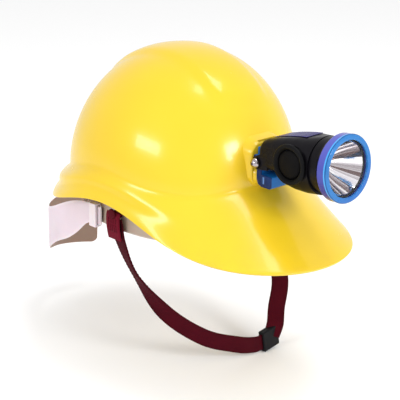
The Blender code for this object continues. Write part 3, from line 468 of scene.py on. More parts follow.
def webbing_finish(name, deep, light, band=None, pitch=0.0011, gloss=0.62):
    """Woven tape: twill ribs along and across, lighter on top of each rib, fuzz and soiling."""
    f = Finish(name, Sheen_Weight=0.02, Sheen_Roughness=0.4, Specular_IOR_Level=0.06)
    spot, along, across = f.along()
    turn = 2 * pi / pitch
    warp = (across * turn * 1.6).sine().size()
    weft = ((along + across * 0.5) * turn).sine()
    weave = warp * 0.6 + (weft * 0.5 + 0.5) * 0.6
    fuzz = f.noise(1800.0, 3.0, at=spot)
    colour = f.mix(weave.clip(0.2, 1.1), deep, light)
    if band:
        mark = (across.size() - 0.0045).size()
        colour = f.mix((1 - mark.clip(0.0002, 0.0007)) * 0.8, colour, band)
    soil = f.noise(60.0, 4.0, 0.6).clip(0.5, 0.8)
    colour = f.mix(soil * 0.35, colour, tuple(c * 0.45 for c in deep))
    normal = f.bump(weave + fuzz * 0.5, 0.55, 0.00028)
    rough = gloss + weave * 0.18 + fuzz * 0.1 - 0.05
    return f.feed(Base_Color=colour, Roughness=rough, Normal=normal).material


def foam_finish():
    """Brow pad cover: knitted cloth with a fine open mesh."""
    f = Finish("brow_pad_cloth", Sheen_Weight=0.35, Sheen_Roughness=0.5)
    mesh = f.cells(1100.0)
    cloud = f.noise(45.0, 4.0)
    colour = f.mix(mesh.clip(0.1, 0.6), (0.008, 0.008, 0.010), (0.05, 0.05, 0.056))
    colour = f.mix(cloud.clip(0.5, 0.8) * 0.3, colour, (0.09, 0.085, 0.08))
    normal = f.bump(mesh, 0.6, 0.0004, f.bump(cloud, 0.3, 0.002))
    return f.feed(Base_Color=colour, Roughness=0.78 + mesh * 0.15, Normal=normal).material


def rubber_finish():
    f = Finish("rubber_boot", Specular_IOR_Level=0.08)
    fine = f.noise(700.0, 3.0)
    cloud = f.noise(60.0, 3.0)
    colour = f.mix(cloud.clip(0.3, 0.7), (0.0012, 0.001, 0.0014), (0.004, 0.0036, 0.004))
    return f.feed(Base_Color=colour, Roughness=0.5 + fine * 0.2, Normal=f.bump(fine, 0.2, 0.0001)).material


def board_finish():
    f = Finish("circuit_board", Specular_IOR_Level=0.5)
    track = f.cells(260.0, "DISTANCE_TO_EDGE").clip(0.02, 0.05)
    colour = f.mix(track, (0.05, 0.30, 0.12), (0.006, 0.10, 0.035))
    return f.feed(Base_Color=colour, Roughness=0.35 + track * 0.2, Normal=f.bump(track, 0.2, 0.0001)).material


def label_finish():
    """Plain tinted film with soft diagonal sheen bands and no print."""
    f = Finish("label_film", Coat_Roughness=0.05, Specular_IOR_Level=0.04)
    x, y, _ = f.axes()
    band = ((x * 0.7 + y) * 420.0).sine() * 0.5 + 0.5
    cloud = f.noise(120.0, 3.0)
    colour = f.mix(band * 0.35 + cloud * 0.3, (0.008, 0.004, 0.075), (0.035, 0.025, 0.21))
    return f.feed(Base_Color=colour, Roughness=0.22 + cloud * 0.1, Coat_Weight=0.03 - cloud * 0.02).material


SHELL = shell_finish()
# The nape strap gets painted shade in beige on its side that faces the head.
MILKY = milky_finish(
    "suspension_milky", (0.66, 0.56, 0.62), (0.56, 0.47, 0.52), inner=(0.33, 0.22, 0.165)
)
# painted shade: the head ring and its lugs take the milky plastic in a darker beige
MILKY_BAND_SHADED = milky_finish("headband_milky", (0.42, 0.33, 0.27), (0.32, 0.25, 0.20))
BLACK = black_finish("lamp_black")
BLACK_SOFT = black_finish("fitting_black", (0.004, 0.004, 0.005), 0.36, 0.1)
COLLAR_BLACK = black_finish("collar_black", (0.0015, 0.0015, 0.002), 0.5, 0.05)
BRACKET_BLUE = bracket_finish()
BEZEL_BLUE = bezel_finish()
CHROME = metal_finish("chrome_plate", (0.42, 0.38, 0.40), 0.10)
STEEL = metal_finish("plain_steel", (0.45, 0.44, 0.44), 0.32, 0.1)
ALUMINIUM = metal_finish("turned_aluminium", (0.62, 0.62, 0.64), 0.3, 0.12)
BRASS = metal_finish("contact_plate", (0.76, 0.60, 0.28), 0.22)
BOWL = reflector_finish()
LENS = lens_finish()
MAROON = webbing_finish("strap_maroon", (0.020, 0.0006, 0.002), (0.085, 0.0022, 0.010))
MAROON_BRIGHT = webbing_finish("strap_tab_maroon", (0.060, 0.002, 0.006), (0.20, 0.008, 0.026))
CRADLE = webbing_finish("cradle_webbing", (0.28, 0.26, 0.23), (0.58, 0.55, 0.50), (0.08, 0.10, 0.20))
THREAD = webbing_finish("stitch_thread", (0.03, 0.002, 0.004), (0.10, 0.012, 0.018), pitch=0.0006)
FOAM = foam_finish()
RUBBER = rubber_finish()
BOARD = board_finish()
LABEL = label_finish()
CELL = blue_finish("cell_wrap", (0.01, 0.05, 0.16), (0.02, 0.08, 0.24), 0.0, 0.35)
PHOSPHOR = blue_finish("phosphor", (0.75, 0.60, 0.10), (0.9, 0.75, 0.2), 0.0, 0.4)


# ---------------------------------------------------------------- mesh helpers
def piece(name, mesh, finish, body, stands_for=()):
    """Puts a finished mesh in the scene and on its body."""
    obj = bpy.data.objects.new(name, mesh)
    bpy.context.scene.collection.objects.link(obj)
    if finish:
        mesh.materials.clear()
        mesh.materials.append(finish)
    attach(obj, body)
    if stands_for:
        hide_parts(*stands_for)
    return obj


def smooth(mesh, angle=40):
    mesh.shade_smooth()
    mesh.set_sharp_from_angle(angle=radians(angle))
    return mesh


def skin(name, rows, wrap=True, cap=False, size=MM):
    """Quads between rows of points; wrap joins each row's end to its start."""
    bm = bmesh.new()
    made = [[bm.verts.new(Vector(p) * size) for p in row] for row in rows]
    count = len(rows[0]) if wrap else len(rows[0]) - 1
    for low, high in zip(made, made[1:]):
        for i in range(count):
            j = (i + 1) % len(low)
            bm.faces.new((low[i], low[j], high[j], high[i]))
    if cap:
        bm.faces.new(list(reversed(made[0])))
        bm.faces.new(made[-1])
    bmesh.ops.remove_doubles(bm, verts=bm.verts, dist=1e-7)
    bmesh.ops.recalc_face_normals(bm, faces=bm.faces)
    mesh = bpy.data.meshes.new(name)
    bm.to_mesh(mesh)
    bm.free()
    return mesh


def baked(mesh, *changes):
    """Applies modifiers, each given as a type and its settings, and returns the plain mesh."""
    carrier = bpy.data.objects.new("carrier", mesh)
    bpy.context.scene.collection.objects.link(carrier)
    for kind, settings in changes:
        modifier = carrier.modifiers.new(kind, kind)
        for word, value in settings.items():
            setattr(modifier, word, value)
    bpy.context.view_layer.update()
    graph = bpy.context.evaluated_depsgraph_get()
    made = bpy.data.meshes.new_from_object(carrier.evaluated_get(graph))
    bpy.data.objects.remove(carrier)
    made.name = mesh.name
    return made


def hidden(name, mesh):
    """A helper for a Boolean, removed again by clear_helpers()."""
    obj = bpy.data.objects.new(name, mesh)
    bpy.context.scene.collection.objects.link(obj)
    obj.hide_render = True
    HELPERS.append(obj)
    return obj


HELPERS = []


def clear_helpers():
    while HELPERS:
        bpy.data.objects.remove(HELPERS.pop())


def cut(helper, operation="DIFFERENCE"):
    return ("BOOLEAN", {"operation": operation, "object": helper, "solver": "EXACT"})


def bevel(width, segments=3, angle=35):
    return (
        "BEVEL",
        {"width": width * MM, "segments": segments, "limit_method": "ANGLE", "angle_limit": radians(angle)},
    )


def subdivide(levels):
    return ("SUBSURF", {"levels": levels, "render_levels": levels})


def turned(name, profile, origin, axis, steps=96, angle=30, close=True):
    """A turned shape: points are (radius, height), both in millimetres."""
    bm = bmesh.new()
    spin = Vector(axis).to_track_quat("Z", "Y").to_matrix().to_4x4()
    place = Matrix.Translation(Vector(origin) * MM) @ spin
    rows = []
    for radius, height in profile:
        if radius < 1e-6:
            rows.append([bm.verts.new(place @ Vector((0, 0, height * MM)))])
            continue
        ring = []
        for k in range(steps):
            a = 2 * pi * k / steps
            spot = Vector((radius * cos(a), radius * sin(a), height)) * MM
            ring.append(bm.verts.new(place @ spot))
        rows.append(ring)
    pairs = list(zip(rows, rows[1:]))
    if close and len(rows[0]) > 1 and len(rows[-1]) > 1:
        pairs.append((rows[-1], rows[0]))
    for low, high in pairs:
        for k in range(steps):
            j = (k + 1) % steps
            if len(low) == 1 and len(high) == 1:
                break
            if len(low) == 1:
                bm.faces.new((low[0], high[j], high[k]))
            elif len(high) == 1:
                bm.faces.new((low[k], low[j], high[0]))
            else:
                bm.faces.new((low[k], low[j], high[j], high[k]))
    bmesh.ops.recalc_face_normals(bm, faces=bm.faces)
    mesh = bpy.data.meshes.new(name)
    bm.to_mesh(mesh)
    bm.free()
    return smooth(mesh, angle)


def rounded(profile, reach=0.5, steps=3):
    """Rounds the corners of a closed profile."""
    out = []
    count = len(profile)
    for k, point in enumerate(profile):
        p = Vector(point)
        a = Vector(profile[k - 1])
        b = Vector(profile[(k + 1) % count])
        if p.x < 1e-6 or (a - p).length < 1e-6 or (b - p).length < 1e-6:
            out.append(tuple(p))
            continue
        ra = min(reach, (a - p).length * 0.4)
        rb = min(reach, (b - p).length * 0.4)
        start = p + (a - p).normalized() * ra
        end = p + (b - p).normalized() * rb
        for s in range(steps + 1):
            t = s / steps
            out.append(tuple(start * (1 - t) ** 2 + p * 2 * t * (1 - t) + end * t * t))
    return out


TIP = (
    Matrix.Translation(Vector((0, -PIVOT_FORWARD, PIVOT_Z)) * MM)
    @ Matrix.Rotation(radians(-LAMP_TILT), 4, "X")
    @ Matrix.Translation(Vector((0, PIVOT_FORWARD, -PIVOT_Z)) * MM)
)


def on_lamp(mesh):
    """Tips a mesh made level to the lamp's real angle."""
    mesh.transform(TIP)
    return mesh


def rounded_rectangle(half_width, half_height, radius, steps=8):
    points = []
    for corner in range(4):
        sx = 1 if corner in (0, 3) else -1
        sy = 1 if corner < 2 else -1
        for k in range(steps + 1):
            turn = (corner + k / steps) * pi / 2
            x = sx * (half_width - radius) + radius * cos(turn)
            y = sy * (half_height - radius) + radius * sin(turn)
            points.append((x, y))
    return points


# ---------------------------------------------------------------- shell form
STATIONS = [radians(45 * k) for k in range(5)]
SERIES = np.linalg.inv([[cos(k * a) for k in range(5)] for a in STATIONS])


def ring_value(values, turn):
    terms = SERIES @ np.array(values)
    return float(sum(term * cos(k * turn) for k, term in enumerate(terms)))


def ease(low, high, value):
    t = min(1.0, max(0.0, (value - low) / (high - low)))
    return t * t * (3 - 2 * t)


def plan_radius(turn, half_width, front, rear, power=PLAN_POWER):
    length = front if cos(turn) > 0 else rear
    return (abs(sin(turn) / half_width) ** power + abs(cos(turn) / length) ** power) ** (-1 / power)


def at(turn, radius, height):
    return (radius * sin(turn), -radius * cos(turn), height)


def dome_point(turn, t, grow=0.0):
    base = plan_radius(turn, DOME_HALF_WIDTH, DOME_FRONT, DOME_REAR)
    crease = ring_value(CREASE_HEIGHT, turn)
    radius = base * sin(t * pi / 2) ** (2 / PROFILE_POWER_R)
    rise = max(cos(t * pi / 2), 0.0) ** (2 / PROFILE_POWER_Z)
    height = crease + (CROWN_HEIGHT - crease) * rise
    x, y, z = at(turn, radius, height)
    crest = CREST_HEIGHT * (1 - ease(CREST_HALF_WIDTH - 6, CREST_HALF_WIDTH + 6, abs(x)))
    crest *= ease(CREST_BOTTOM, CREST_BOTTOM + 14, z)
    out = Vector((x / base, y / base, (z - crease) / CROWN_HEIGHT + 0.15)).normalized()
    return Vector((x, y, z)) + out * (crest + grow)


def skirt_point(turn, u):
    base = plan_radius(turn, DOME_HALF_WIDTH, DOME_FRONT, DOME_REAR)
    crease = ring_value(CREASE_HEIGHT, turn)
    rim = ring_value(RIM_HEIGHT, turn)
    over = ring_value(OVERHANG, turn)
    peak = ease(0.1, 0.85, cos(turn))
    gutter = 0.62 * ease(0.0, 0.45, u) + 0.38 * ease(0.55, 1.0, u)
    flare = peak * (0.25 * u * u + 0.75 * u) + (1 - peak) * gutter
    fall = u ** (1 + 0.15 * peak)
    return at(turn, base + over * flare, crease + (rim - crease) * fall)


def make_shell():
    """The shell, twice as finely as the solid, with a rounded rim."""
    around = 200
    turns = [2 * pi * k / around for k in range(around)]
    rows = [[Vector(dome_point(a, row / 60)) for a in turns] for row in range(1, 61)]
    rows += [[Vector(skirt_point(a, row / 26)) for a in turns] for row in range(1, 27)]
    bm = bmesh.new()
    crown = bm.verts.new(Vector(dome_point(0.0, 0.0)) * MM)
    made = [[bm.verts.new(p * MM) for p in row] for row in rows]
    for i in range(around):
        bm.faces.new((crown, made[0][i], made[0][(i + 1) % around]))
    for upper, lower in zip(made, made[1:]):
        for i in range(around):
            j = (i + 1) % around
            bm.faces.new((upper[i], lower[i], lower[j], upper[j]))
    bmesh.ops.recalc_face_normals(bm, faces=bm.faces)
    if sum(f.normal.dot(f.calc_center_median()) for f in bm.faces) < 0:
        bmesh.ops.reverse_faces(bm, faces=bm.faces)
    mesh = bpy.data.meshes.new("helmet_shell")
    bm.to_mesh(mesh)
    bm.free()
    mesh = baked(
        mesh,
        ("SMOOTH", {"factor": 0.5, "iterations": 3}),
        ("SOLIDIFY", {"thickness": SHELL_WALL * MM, "offset": -1.0, "use_even_offset": True}),
        bevel(0.8, 3, 60),
    )
    return piece("helmet_shell", smooth(mesh, 50), SHELL, "helmet", ["shell"])


def make_boss():
    """The raised lamp mount that grows out of the front of the dome."""
    levels = (
        (84.0, 24.0, 42.0, BOSS_TOP + 8.0, 16.0), (93.0, 22.6, 43.6, BOSS_TOP + 5.0, 14.0),
        (100.0, 21.4, 45.6, BOSS_TOP + 2.5, 12.0), (BOSS_FACE - 1.3, 20.4, 47.0, BOSS_TOP + 1.5, 11.0),
        (BOSS_FACE - 0.3, 19.8, 47.7, BOSS_TOP + 0.4, 9.6), (BOSS_FACE, 19.0, 48.0, BOSS_TOP, 9.0),
        (BOSS_FACE, 18.0, 48.6, SEAT_BOTTOM, 7.0), (CHIN_FACE - 1.6, 17.6, 49.2, SEAT_BOTTOM - 0.7, 7.0),
        (CHIN_FACE - 0.4, 16.6, 50.4, SEAT_BOTTOM - 1.9, 6.0),
        (CHIN_FACE, 15.5, 51.5, SEAT_BOTTOM - 3.0, 5.0),
    )
    rows = []
    for forward, half_width, low, high, corner in levels:
        outline = rounded_rectangle(half_width, (high - low) / 2, corner, 10)
        rows.append([(x, -forward, (high + low) / 2 + z) for x, z in outline])
    mesh = skin("boss", rows, cap=True)
    floor = BOSS_TOP - 16.0
    pocket = hidden("pocket", box_mesh((-10.8, -103.3, floor), (10.8, -101.1, 110)))
    neck = hidden("neck", box_mesh((-5.3, -110, floor), (5.3, -102.0, 110)))
    mesh = baked(mesh, cut(pocket), cut(neck))
    clear_helpers()
    return piece("lamp_mount_boss", smooth(mesh, 45), SHELL, "helmet", ["lamp_boss"])


def box_mesh(low, high):
    bm = bmesh.new()
    bmesh.ops.create_cube(bm, size=1.0)
    low, high = Vector(low) * MM, Vector(high) * MM
    bmesh.ops.scale(bm, vec=high - low, verts=bm.verts)
    bmesh.ops.translate(bm, vec=(high + low) / 2, verts=bm.verts)
    mesh = bpy.data.meshes.new("box")
    bm.to_mesh(mesh)
    bm.free()
    return mesh


# ---------------------------------------------------------------- straps
def spline(points, per_span):
    padded = [points[0] * 2 - points[1]] + list(points) + [points[-1] * 2 - points[-2]]
    found = []
    for a, b, c, d in zip(padded, padded[1:], padded[2:], padded[3:]):
        for k in range(per_span):
            t = k / per_span
            found.append(
                0.5
                * (2 * b + (c - a) * t + (2 * a - 5 * b + 4 * c - d) * t**2 + (3 * b - a - 3 * c + d) * t**3)
            )
    found.append(points[-1].copy())
    return found


def tape(name, centres, widths, width, wall):
    """A woven tape with round edges along a path; its map is metres along and across."""
    bm = bmesh.new()
    layer = bm.loops.layers.uv.new("cloth")
    outline = []
    half, thick = width / 2, wall / 2
    for side in (1, -1):
        for k in range(9):
            outline.append((side * (half - thick) * (1 - k / 4), side * thick))
        for k in range(1, 4):
            a = pi / 2 + pi * k / 4
            outline.append((side * (-(half - thick) + thick * cos(a)), side * thick * sin(a)))
    rows, spots, walked = [], [], 0.0
    for k, centre in enumerate(centres):
        ahead = (centres[min(k + 1, len(centres) - 1)] - centres[max(k - 1, 0)]).normalized()
        across = (widths[k] - ahead * widths[k].dot(ahead)).normalized()
        face = ahead.cross(across)
        if k:
            walked += (centres[k] - centres[k - 1]).length
        rows.append([bm.verts.new((centre + across * a + face * b) * MM) for a, b in outline])
        spots.append([(walked * MM, a * MM) for a, b in outline])
    for r in range(len(rows) - 1):
        for i in range(len(outline)):
            j = (i + 1) % len(outline)
            made = bm.faces.new((rows[r][i], rows[r][j], rows[r + 1][j], rows[r + 1][i]))
            for loop, spot in zip(made.loops, (spots[r][i], spots[r][j], spots[r + 1][j], spots[r + 1][i])):
                loop[layer].uv = spot
    for row, where, flip in ((rows[0], spots[0], True), (rows[-1], spots[-1], False)):
        made = bm.faces.new(list(reversed(row)) if flip else row)
        for loop, spot in zip(made.loops, reversed(where) if flip else where):
            loop[layer].uv = spot
    bmesh.ops.recalc_face_normals(bm, faces=bm.faces)
    mesh = bpy.data.meshes.new(name)
    bm.to_mesh(mesh)
    bm.free()
    return smooth(mesh, 60)


# ---------------------------------------------------------------- repeats
def repeat_tree():
    """Places one shape at every point, turned by the point's own attribute."""
    tree = bpy.data.node_groups.new("repeat_shape", "GeometryNodeTree")
    face = tree.interface
    face.new_socket("Points", in_out="INPUT", socket_type="NodeSocketGeometry")
    face.new_socket("Shape", in_out="INPUT", socket_type="NodeSocketObject")
    face.new_socket("Size", in_out="INPUT", socket_type="NodeSocketFloat")
    face.new_socket("Finish", in_out="INPUT", socket_type="NodeSocketMaterial")
    face.new_socket("Result", in_out="OUTPUT", socket_type="NodeSocketGeometry")
    add = tree.nodes.new
    start, end = add("NodeGroupInput"), add("NodeGroupOutput")
    shape = add("GeometryNodeObjectInfo")
    turn = add("GeometryNodeInputNamedAttribute")
    turn.data_type = "FLOAT_VECTOR"
    turn.inputs["Name"].default_value = "turn"
    spin = add("FunctionNodeEulerToRotation")
    copies = add("GeometryNodeInstanceOnPoints")
    real = add("GeometryNodeRealizeInstances")
    paint = add("GeometryNodeSetMaterial")
    join = tree.links.new
    join(start.outputs["Points"], copies.inputs["Points"])
    join(start.outputs["Shape"], shape.inputs["Object"])
    join(shape.outputs["Geometry"], copies.inputs["Instance"])
    join(turn.outputs["Attribute"], spin.inputs["Euler"])
    join(spin.outputs["Rotation"], copies.inputs["Rotation"])
    join(start.outputs["Size"], copies.inputs["Scale"])
    join(copies.outputs["Instances"], real.inputs["Geometry"])
    join(real.outputs["Geometry"], paint.inputs["Geometry"])
    join(start.outputs["Finish"], paint.inputs["Material"])
    join(paint.outputs["Geometry"], end.inputs["Result"])
    return tree


REPEAT = repeat_tree()


def repeat(name, shape, places, finish, body, size=1.0):
    """One piece made of a shape repeated at places, each a point and a rotation matrix."""
    points = bpy.data.meshes.new(name + "_points")
    points.from_pydata([p for p, _ in places], [], [])
    turn = points.attributes.new("turn", "FLOAT_VECTOR", "POINT")
    for entry, (_, matrix) in zip(turn.data, places):
        entry.vector = matrix.to_euler()
    source = hidden(name + "_shape", shape)
    carrier = bpy.data.objects.new(name + "_carrier", points)
    bpy.context.scene.collection.objects.link(carrier)
    modifier = carrier.modifiers.new("Repeat", "NODES")
    modifier.node_group = REPEAT
    for item in REPEAT.interface.items_tree:
        if item.in_out != "INPUT" or item.name == "Points":
            continue
        modifier[item.identifier] = {"Shape": source, "Size": size, "Finish": finish}[item.name]
    bpy.context.view_layer.update()
    graph = bpy.context.evaluated_depsgraph_get()
    mesh = bpy.data.meshes.new_from_object(carrier.evaluated_get(graph))
    bpy.data.objects.remove(carrier)
    clear_helpers()
    for attribute in [a.name for a in mesh.attributes if a.name == "turn"]:
        mesh.attributes.remove(mesh.attributes[attribute])
    mesh.name = name
    return piece(name, mesh, finish, body, ())


def frame_of(ahead, face):
    """A rotation whose X runs ahead and whose Z is the face's normal."""
    x = ahead.normalized()
    z = (face - x * face.dot(x)).normalized()
    y = z.cross(x)
    return Matrix((x, y, z)).transposed()


def stitch_mesh(length=2.4, thick=0.42):
    """One stitch of thread lying on the tape."""
    rows = []
    for k in range(7):
        t = k / 6
        high = 0.16 * sin(pi * t)
        radius = thick / 2 * (0.55 + 0.45 * sin(pi * t))
        turns = [pi * j / 3 for j in range(6)]
        rows.append([(length * (t - 0.5), radius * cos(a), high + radius * sin(a)) for a in turns])
    return skin("stitch", rows, cap=True)


def seams(centres, widths, offsets, spacing, wall, start=0.0, stop=1e9):
    """Places for stitches in rows along a tape, on both faces."""
    places, walked, due = [], 0.0, start
    for k in range(1, len(centres) - 1):
        walked += (centres[k] - centres[k - 1]).length
        if walked < due or walked > stop:
            continue
        due += spacing
        ahead = (centres[k + 1] - centres[k - 1]).normalized()
        across = (widths[k] - ahead * widths[k].dot(ahead)).normalized()
        face = ahead.cross(across)
        for offset in offsets:
            for side in (1, -1):
                spot = centres[k] + across * offset + face * side * (wall / 2 + 0.05)
                places.append((spot * MM, frame_of(ahead, face * side)))
    return places


STRAP_KNOTS = (
    ((-ANCHOR_X, ANCHOR_Y, ANCHOR_Z - 6), (0.0, -1.0, 0.0)),
    ((-82.0, -8.0, -14.0), (-0.1, -1.0, 0.0)),
    ((-74.0, -18.5, -44.0), (-0.3, -0.92, 0.15)),
    ((-54.0, -36.7, -80.5), (0.25, -0.5, 0.82)),
    ((-25.0, -55.5, -106.0), (0.15, -0.15, 0.97)),
    ((6.0, -66.2, -119.0), (0.0, 0.0, 1.0)),
    ((24.0, -69.2, -124.2), (0.0, 0.0, 1.0)),
    ((36.0, -69.7, -125.0), (-0.1, 0.0, 1.0)),
    ((56.0, -69.7, -121.4), (-0.17, 0.0, 1.0)),
)
RISE_KNOTS = (
    ((47.6, -71.2, -121.0), (0.8, -0.6, 0.1)),
    ((52.3, -71.2, -110.4), (0.8, -0.6, 0.1)),
    ((61.0, -64.0, -99.0), (0.8, -0.6, 0.1)),
    ((76.0, -53.2, -75.0), (0.6, -0.8, 0.0)),
    ((83.0, -32.0, -38.0), (0.2, -1.0, 0.0)),
    ((84.5, -14.0, -12.0), (0.0, -1.0, 0.0)),
    ((ANCHOR_X, ANCHOR_Y, ANCHOR_Z - 6), (0.0, -1.0, 0.0)),
)


def make_chin_strap():
    """Both lengths of the maroon strap with their edge stitching."""
    for name, knots, node in (
        ("chin_tape_right", STRAP_KNOTS, "chin_strap_right"),
        ("chin_tape_left", RISE_KNOTS, "chin_strap_left"),
    ):
        centres = spline([Vector(p) for p, _ in knots], 60)
        widths = spline([Vector(w).normalized() for _, w in knots], 60)
        mesh = tape(name, centres[::3], widths[::3], STRAP_WIDTH, STRAP_WALL)
        piece(name, mesh, MAROON, "chin", [node])
        places = seams(centres, widths, (-6.6, 6.6), 3.4, STRAP_WALL, 2.0)
        repeat(name + "_stitches", stitch_mesh(), places, THREAD, "chin", 1.0)


def make_tabs():
    """Folded webbing tabs that hang each strap end from the head ring, stitched in five rows."""
    for side, word in ((-1, "right"), (1, "left")):
        x = side * (ANCHOR_X + 2.4)
        path = [(x, 14.0), (x + side * 1.2, 10.0), (x + side * 1.2, 2.0), (x, -6.0), (x - side * 1.2, -11.0)]
        centres = spline([Vector((a, ANCHOR_Y, b)) for a, b in path], 24)
        widths = [Vector((0, -1, 0)) for _ in centres]
        mesh = tape(f"strap_tab_{word}", centres[::2], widths[::2], STRAP_WIDTH + 1.6, 1.8)
        piece(f"strap_tab_{word}", mesh, MAROON_BRIGHT, "helmet", [f"strap_hook_{word}"])
        places = seams(centres, widths, (-5.0, -2.5, 0.0, 2.5, 5.0), 2.6, 1.8, 6.0, 17.0)
        repeat(f"strap_tab_{word}_stitches", stitch_mesh(), places, THREAD, "helmet", 1.0)


def nape_path(turn, grow=0.0):
    radius = plan_radius(turn, BAND_HALF_WIDTH + 2.6 + grow, BAND_FRONT + grow, NAPE_REACH + grow, 2.7)
    return at(turn, radius, 0.0)


def make_nape():
    """The milky nape strap: a tall wing with soft corners on the right, a narrow tail on the left."""
    first = atan2(BAND_HALF_WIDTH + 2.6, -NAPE_TAIL)
    stop = pi - NAPE_PAD_END / NAPE_REACH
    turns = [first + (2 * pi - 2 * first) * k / 220 for k in range(221)]
    rows = []
    wall = 0.8
    for turn in turns:
        x, y, _ = nape_path(turn)
        ax, ay, _ = nape_path(turn - 0.01)
        bx, by, _ = nape_path(turn + 0.01)
        out = Vector((by - ay, -(bx - ax), 0)).normalized()
        if out.dot(Vector((x, y - 40, 0))) < 0:
            out = -out
        share = (y - NAPE_START) / (NAPE_REACH - NAPE_START)
        top = 11.0 - NAPE_DROP * ease(0.02, 0.93, share)
        low = top - NAPE_ARM_TALL
        if turn > stop:
            edge = min(1.0, (turn - stop) * NAPE_REACH / 9.0)
            angles, levels = zip(*NAPE_LOW)
            spread = [np.interp(degrees(turn) + step, angles, levels) for step in (-3, -1.5, 0, 1.5, 3)]
            low = min(low, sum(spread) / 5) + 9.0 * (1 - (1 - (1 - edge) ** 2) ** 0.5)
        ring = []
        steps = 14
        for side in (1, -1):
            for k in range(steps + 1):
                t = k / steps
                level = low + (top - low) * (t if side > 0 else 1 - t)
                round_off = min(1.0, min(level - low, top - level) / 0.8 + 0.15) ** 0.5
                ring.append(Vector((x, y, level)) + out * side * wall * round_off)
        rows.append(ring)
    mesh = skin("nape_band", rows, cap=True)
    slots = []
    for k in range(7):
        turn = pi - 0.28 - 0.085 * k
        x, y, _ = nape_path(turn)
        share = (y - NAPE_START) / (NAPE_REACH - NAPE_START)
        middle = 11.0 - NAPE_DROP * ease(0.02, 0.93, share) - NAPE_ARM_TALL / 2
        aim = Vector((x, y - 60, 0)).normalized()
        hole = turned("hole", [(0.0, 6.0), (2.2, 6.0), (2.2, -6.0), (0.0, -6.0)], (x, y, middle), aim, 20)
        slots.append(cut(hidden(f"hole_{k}", hole)))
    mesh = baked(mesh, *slots)
    clear_helpers()
    return piece("nape_band", smooth(mesh, 40), MILKY, "nape", ["nape_strap"])


def band_ring(height, inset=0.0, count=160, power=2.3, arc=None):
    turns = [2 * pi * k / count for k in range(count)] if arc is None else arc
    sizes = (BAND_HALF_WIDTH - inset, BAND_FRONT - inset, BAND_REAR - inset)
    return [at(t, plan_radius(t, *sizes, power), height) for t in turns]


def make_headband():
    """The head ring with a rolled edge, stiffening ribs and its rows of slots."""
    profile = []
    top = BAND_BOTTOM + BAND_TALL
    for t in [k / 20 for k in range(21)]:
        lean = 1.5 * t
        rib = 0.45 * (1 - ease(0.0, 0.05, abs(t - 0.3))) + 0.45 * (1 - ease(0.0, 0.05, abs(t - 0.7)))
        lip = 0.5 * (1 - ease(0.0, 0.08, min(t, 1 - t)))
        profile.append((BAND_BOTTOM + BAND_TALL * t, lean - 0.25 * rib - lip * 0.4))
    rows = [band_ring(z, inset - 0.7) for z, inset in profile]
    rows += [band_ring(z, inset + 0.7) for z, inset in reversed(profile)]
    rows.append(rows[0])
    mesh = skin("head_ring", rows)
    holes = []
    for degrees in (-160, -171, 171, 160, -110, 110, -70, 70):
        turn = radians(degrees)
        x, y, _ = at(turn, plan_radius(turn, BAND_HALF_WIDTH, BAND_FRONT, BAND_REAR, 2.3), 0)
        aim = Vector((x, y, 0)).normalized()
        hole = turned("hole", [(0.0, 9.0), (2.4, 9.0), (2.4, -9.0), (0.0, -9.0)], (x, y, top - 13), aim, 20)
        holes.append(cut(hidden(f"band_hole_{degrees}", hole)))
    mesh = baked(mesh, *holes)
    clear_helpers()
    return piece("head_ring", smooth(mesh, 40), MILKY_BAND_SHADED, "helmet", ["headband"])


def make_brow_pad():
    """The brow pad: a foam strip in a knitted cover, swollen between its stitched edges."""
    arc = [radians(-60 + 120 * k / 60) for k in range(61)]
    bottom, top = BAND_BOTTOM - 0.5, BAND_BOTTOM + BAND_TALL
    rows = []
    for t in arc:
        ring = []
        for side in (1, -1):
            for k in range(9):
                share = k / 8 if side > 0 else 1 - k / 8
                bulge = 1.0 * (sin(pi * share) ** 0.5)
                inset = 4.6 + (1.2 * share) + (bulge if side < 0 else -bulge)
                sizes = (BAND_HALF_WIDTH - inset, BAND_FRONT - inset, BAND_REAR - inset)
                ring.append(at(t, plan_radius(t, *sizes, 2.3), bottom + (top - bottom) * share))
        rows.append(ring)
    mesh = skin("brow_pad", rows, cap=True)
    mesh = puffed(mesh, 0.0042, 1.2)
    pad = piece("brow_pad", smooth(mesh, 80), FOAM, "helmet", ["sweatband"])
    return pad


def puffed(mesh, voxel, cap):
    """Fills a pad by cloth pressure, with no point moving further than cap millimetres."""
    scene = bpy.context.scene
    pad = bpy.data.objects.new("puff", mesh)
    scene.collection.objects.link(pad)
    remesh = pad.modifiers.new("Remesh", "REMESH")
    remesh.mode = "VOXEL"
    remesh.voxel_size = voxel * 0.45
    bpy.context.view_layer.update()
    graph = bpy.context.evaluated_depsgraph_get()
    rest = bpy.data.meshes.new_from_object(pad.evaluated_get(graph))
    pad.modifiers.clear()
    pad.data = rest
    start = np.array([v.co[:] for v in rest.vertices])
    cloth = pad.modifiers.new("Cloth", "CLOTH")
    settings = cloth.settings
    settings.quality = 5
    settings.mass = 0.2
    settings.use_pressure = True
    settings.uniform_pressure_force = 4.0
    settings.effector_weights.gravity = 0.0
    cloth.collision_settings.use_collision = False
    cloth.point_cache.frame_start = 1
    cloth.point_cache.frame_end = 20
    for step in range(1, 21):
        scene.frame_set(step)
    graph = bpy.context.evaluated_depsgraph_get()
    swollen = bpy.data.meshes.new_from_object(pad.evaluated_get(graph))
    end = np.array([v.co[:] for v in swollen.vertices])
    move = end - start
    far = np.linalg.norm(move, axis=1, keepdims=True)
    move *= np.minimum(1.0, cap * MM / np.maximum(far, 1e-9))
    for vertex, place in zip(rest.vertices, start + move):
        vertex.co = place
    bpy.data.objects.remove(pad)
    scene.frame_set(1)
    return baked(rest, subdivide(1))


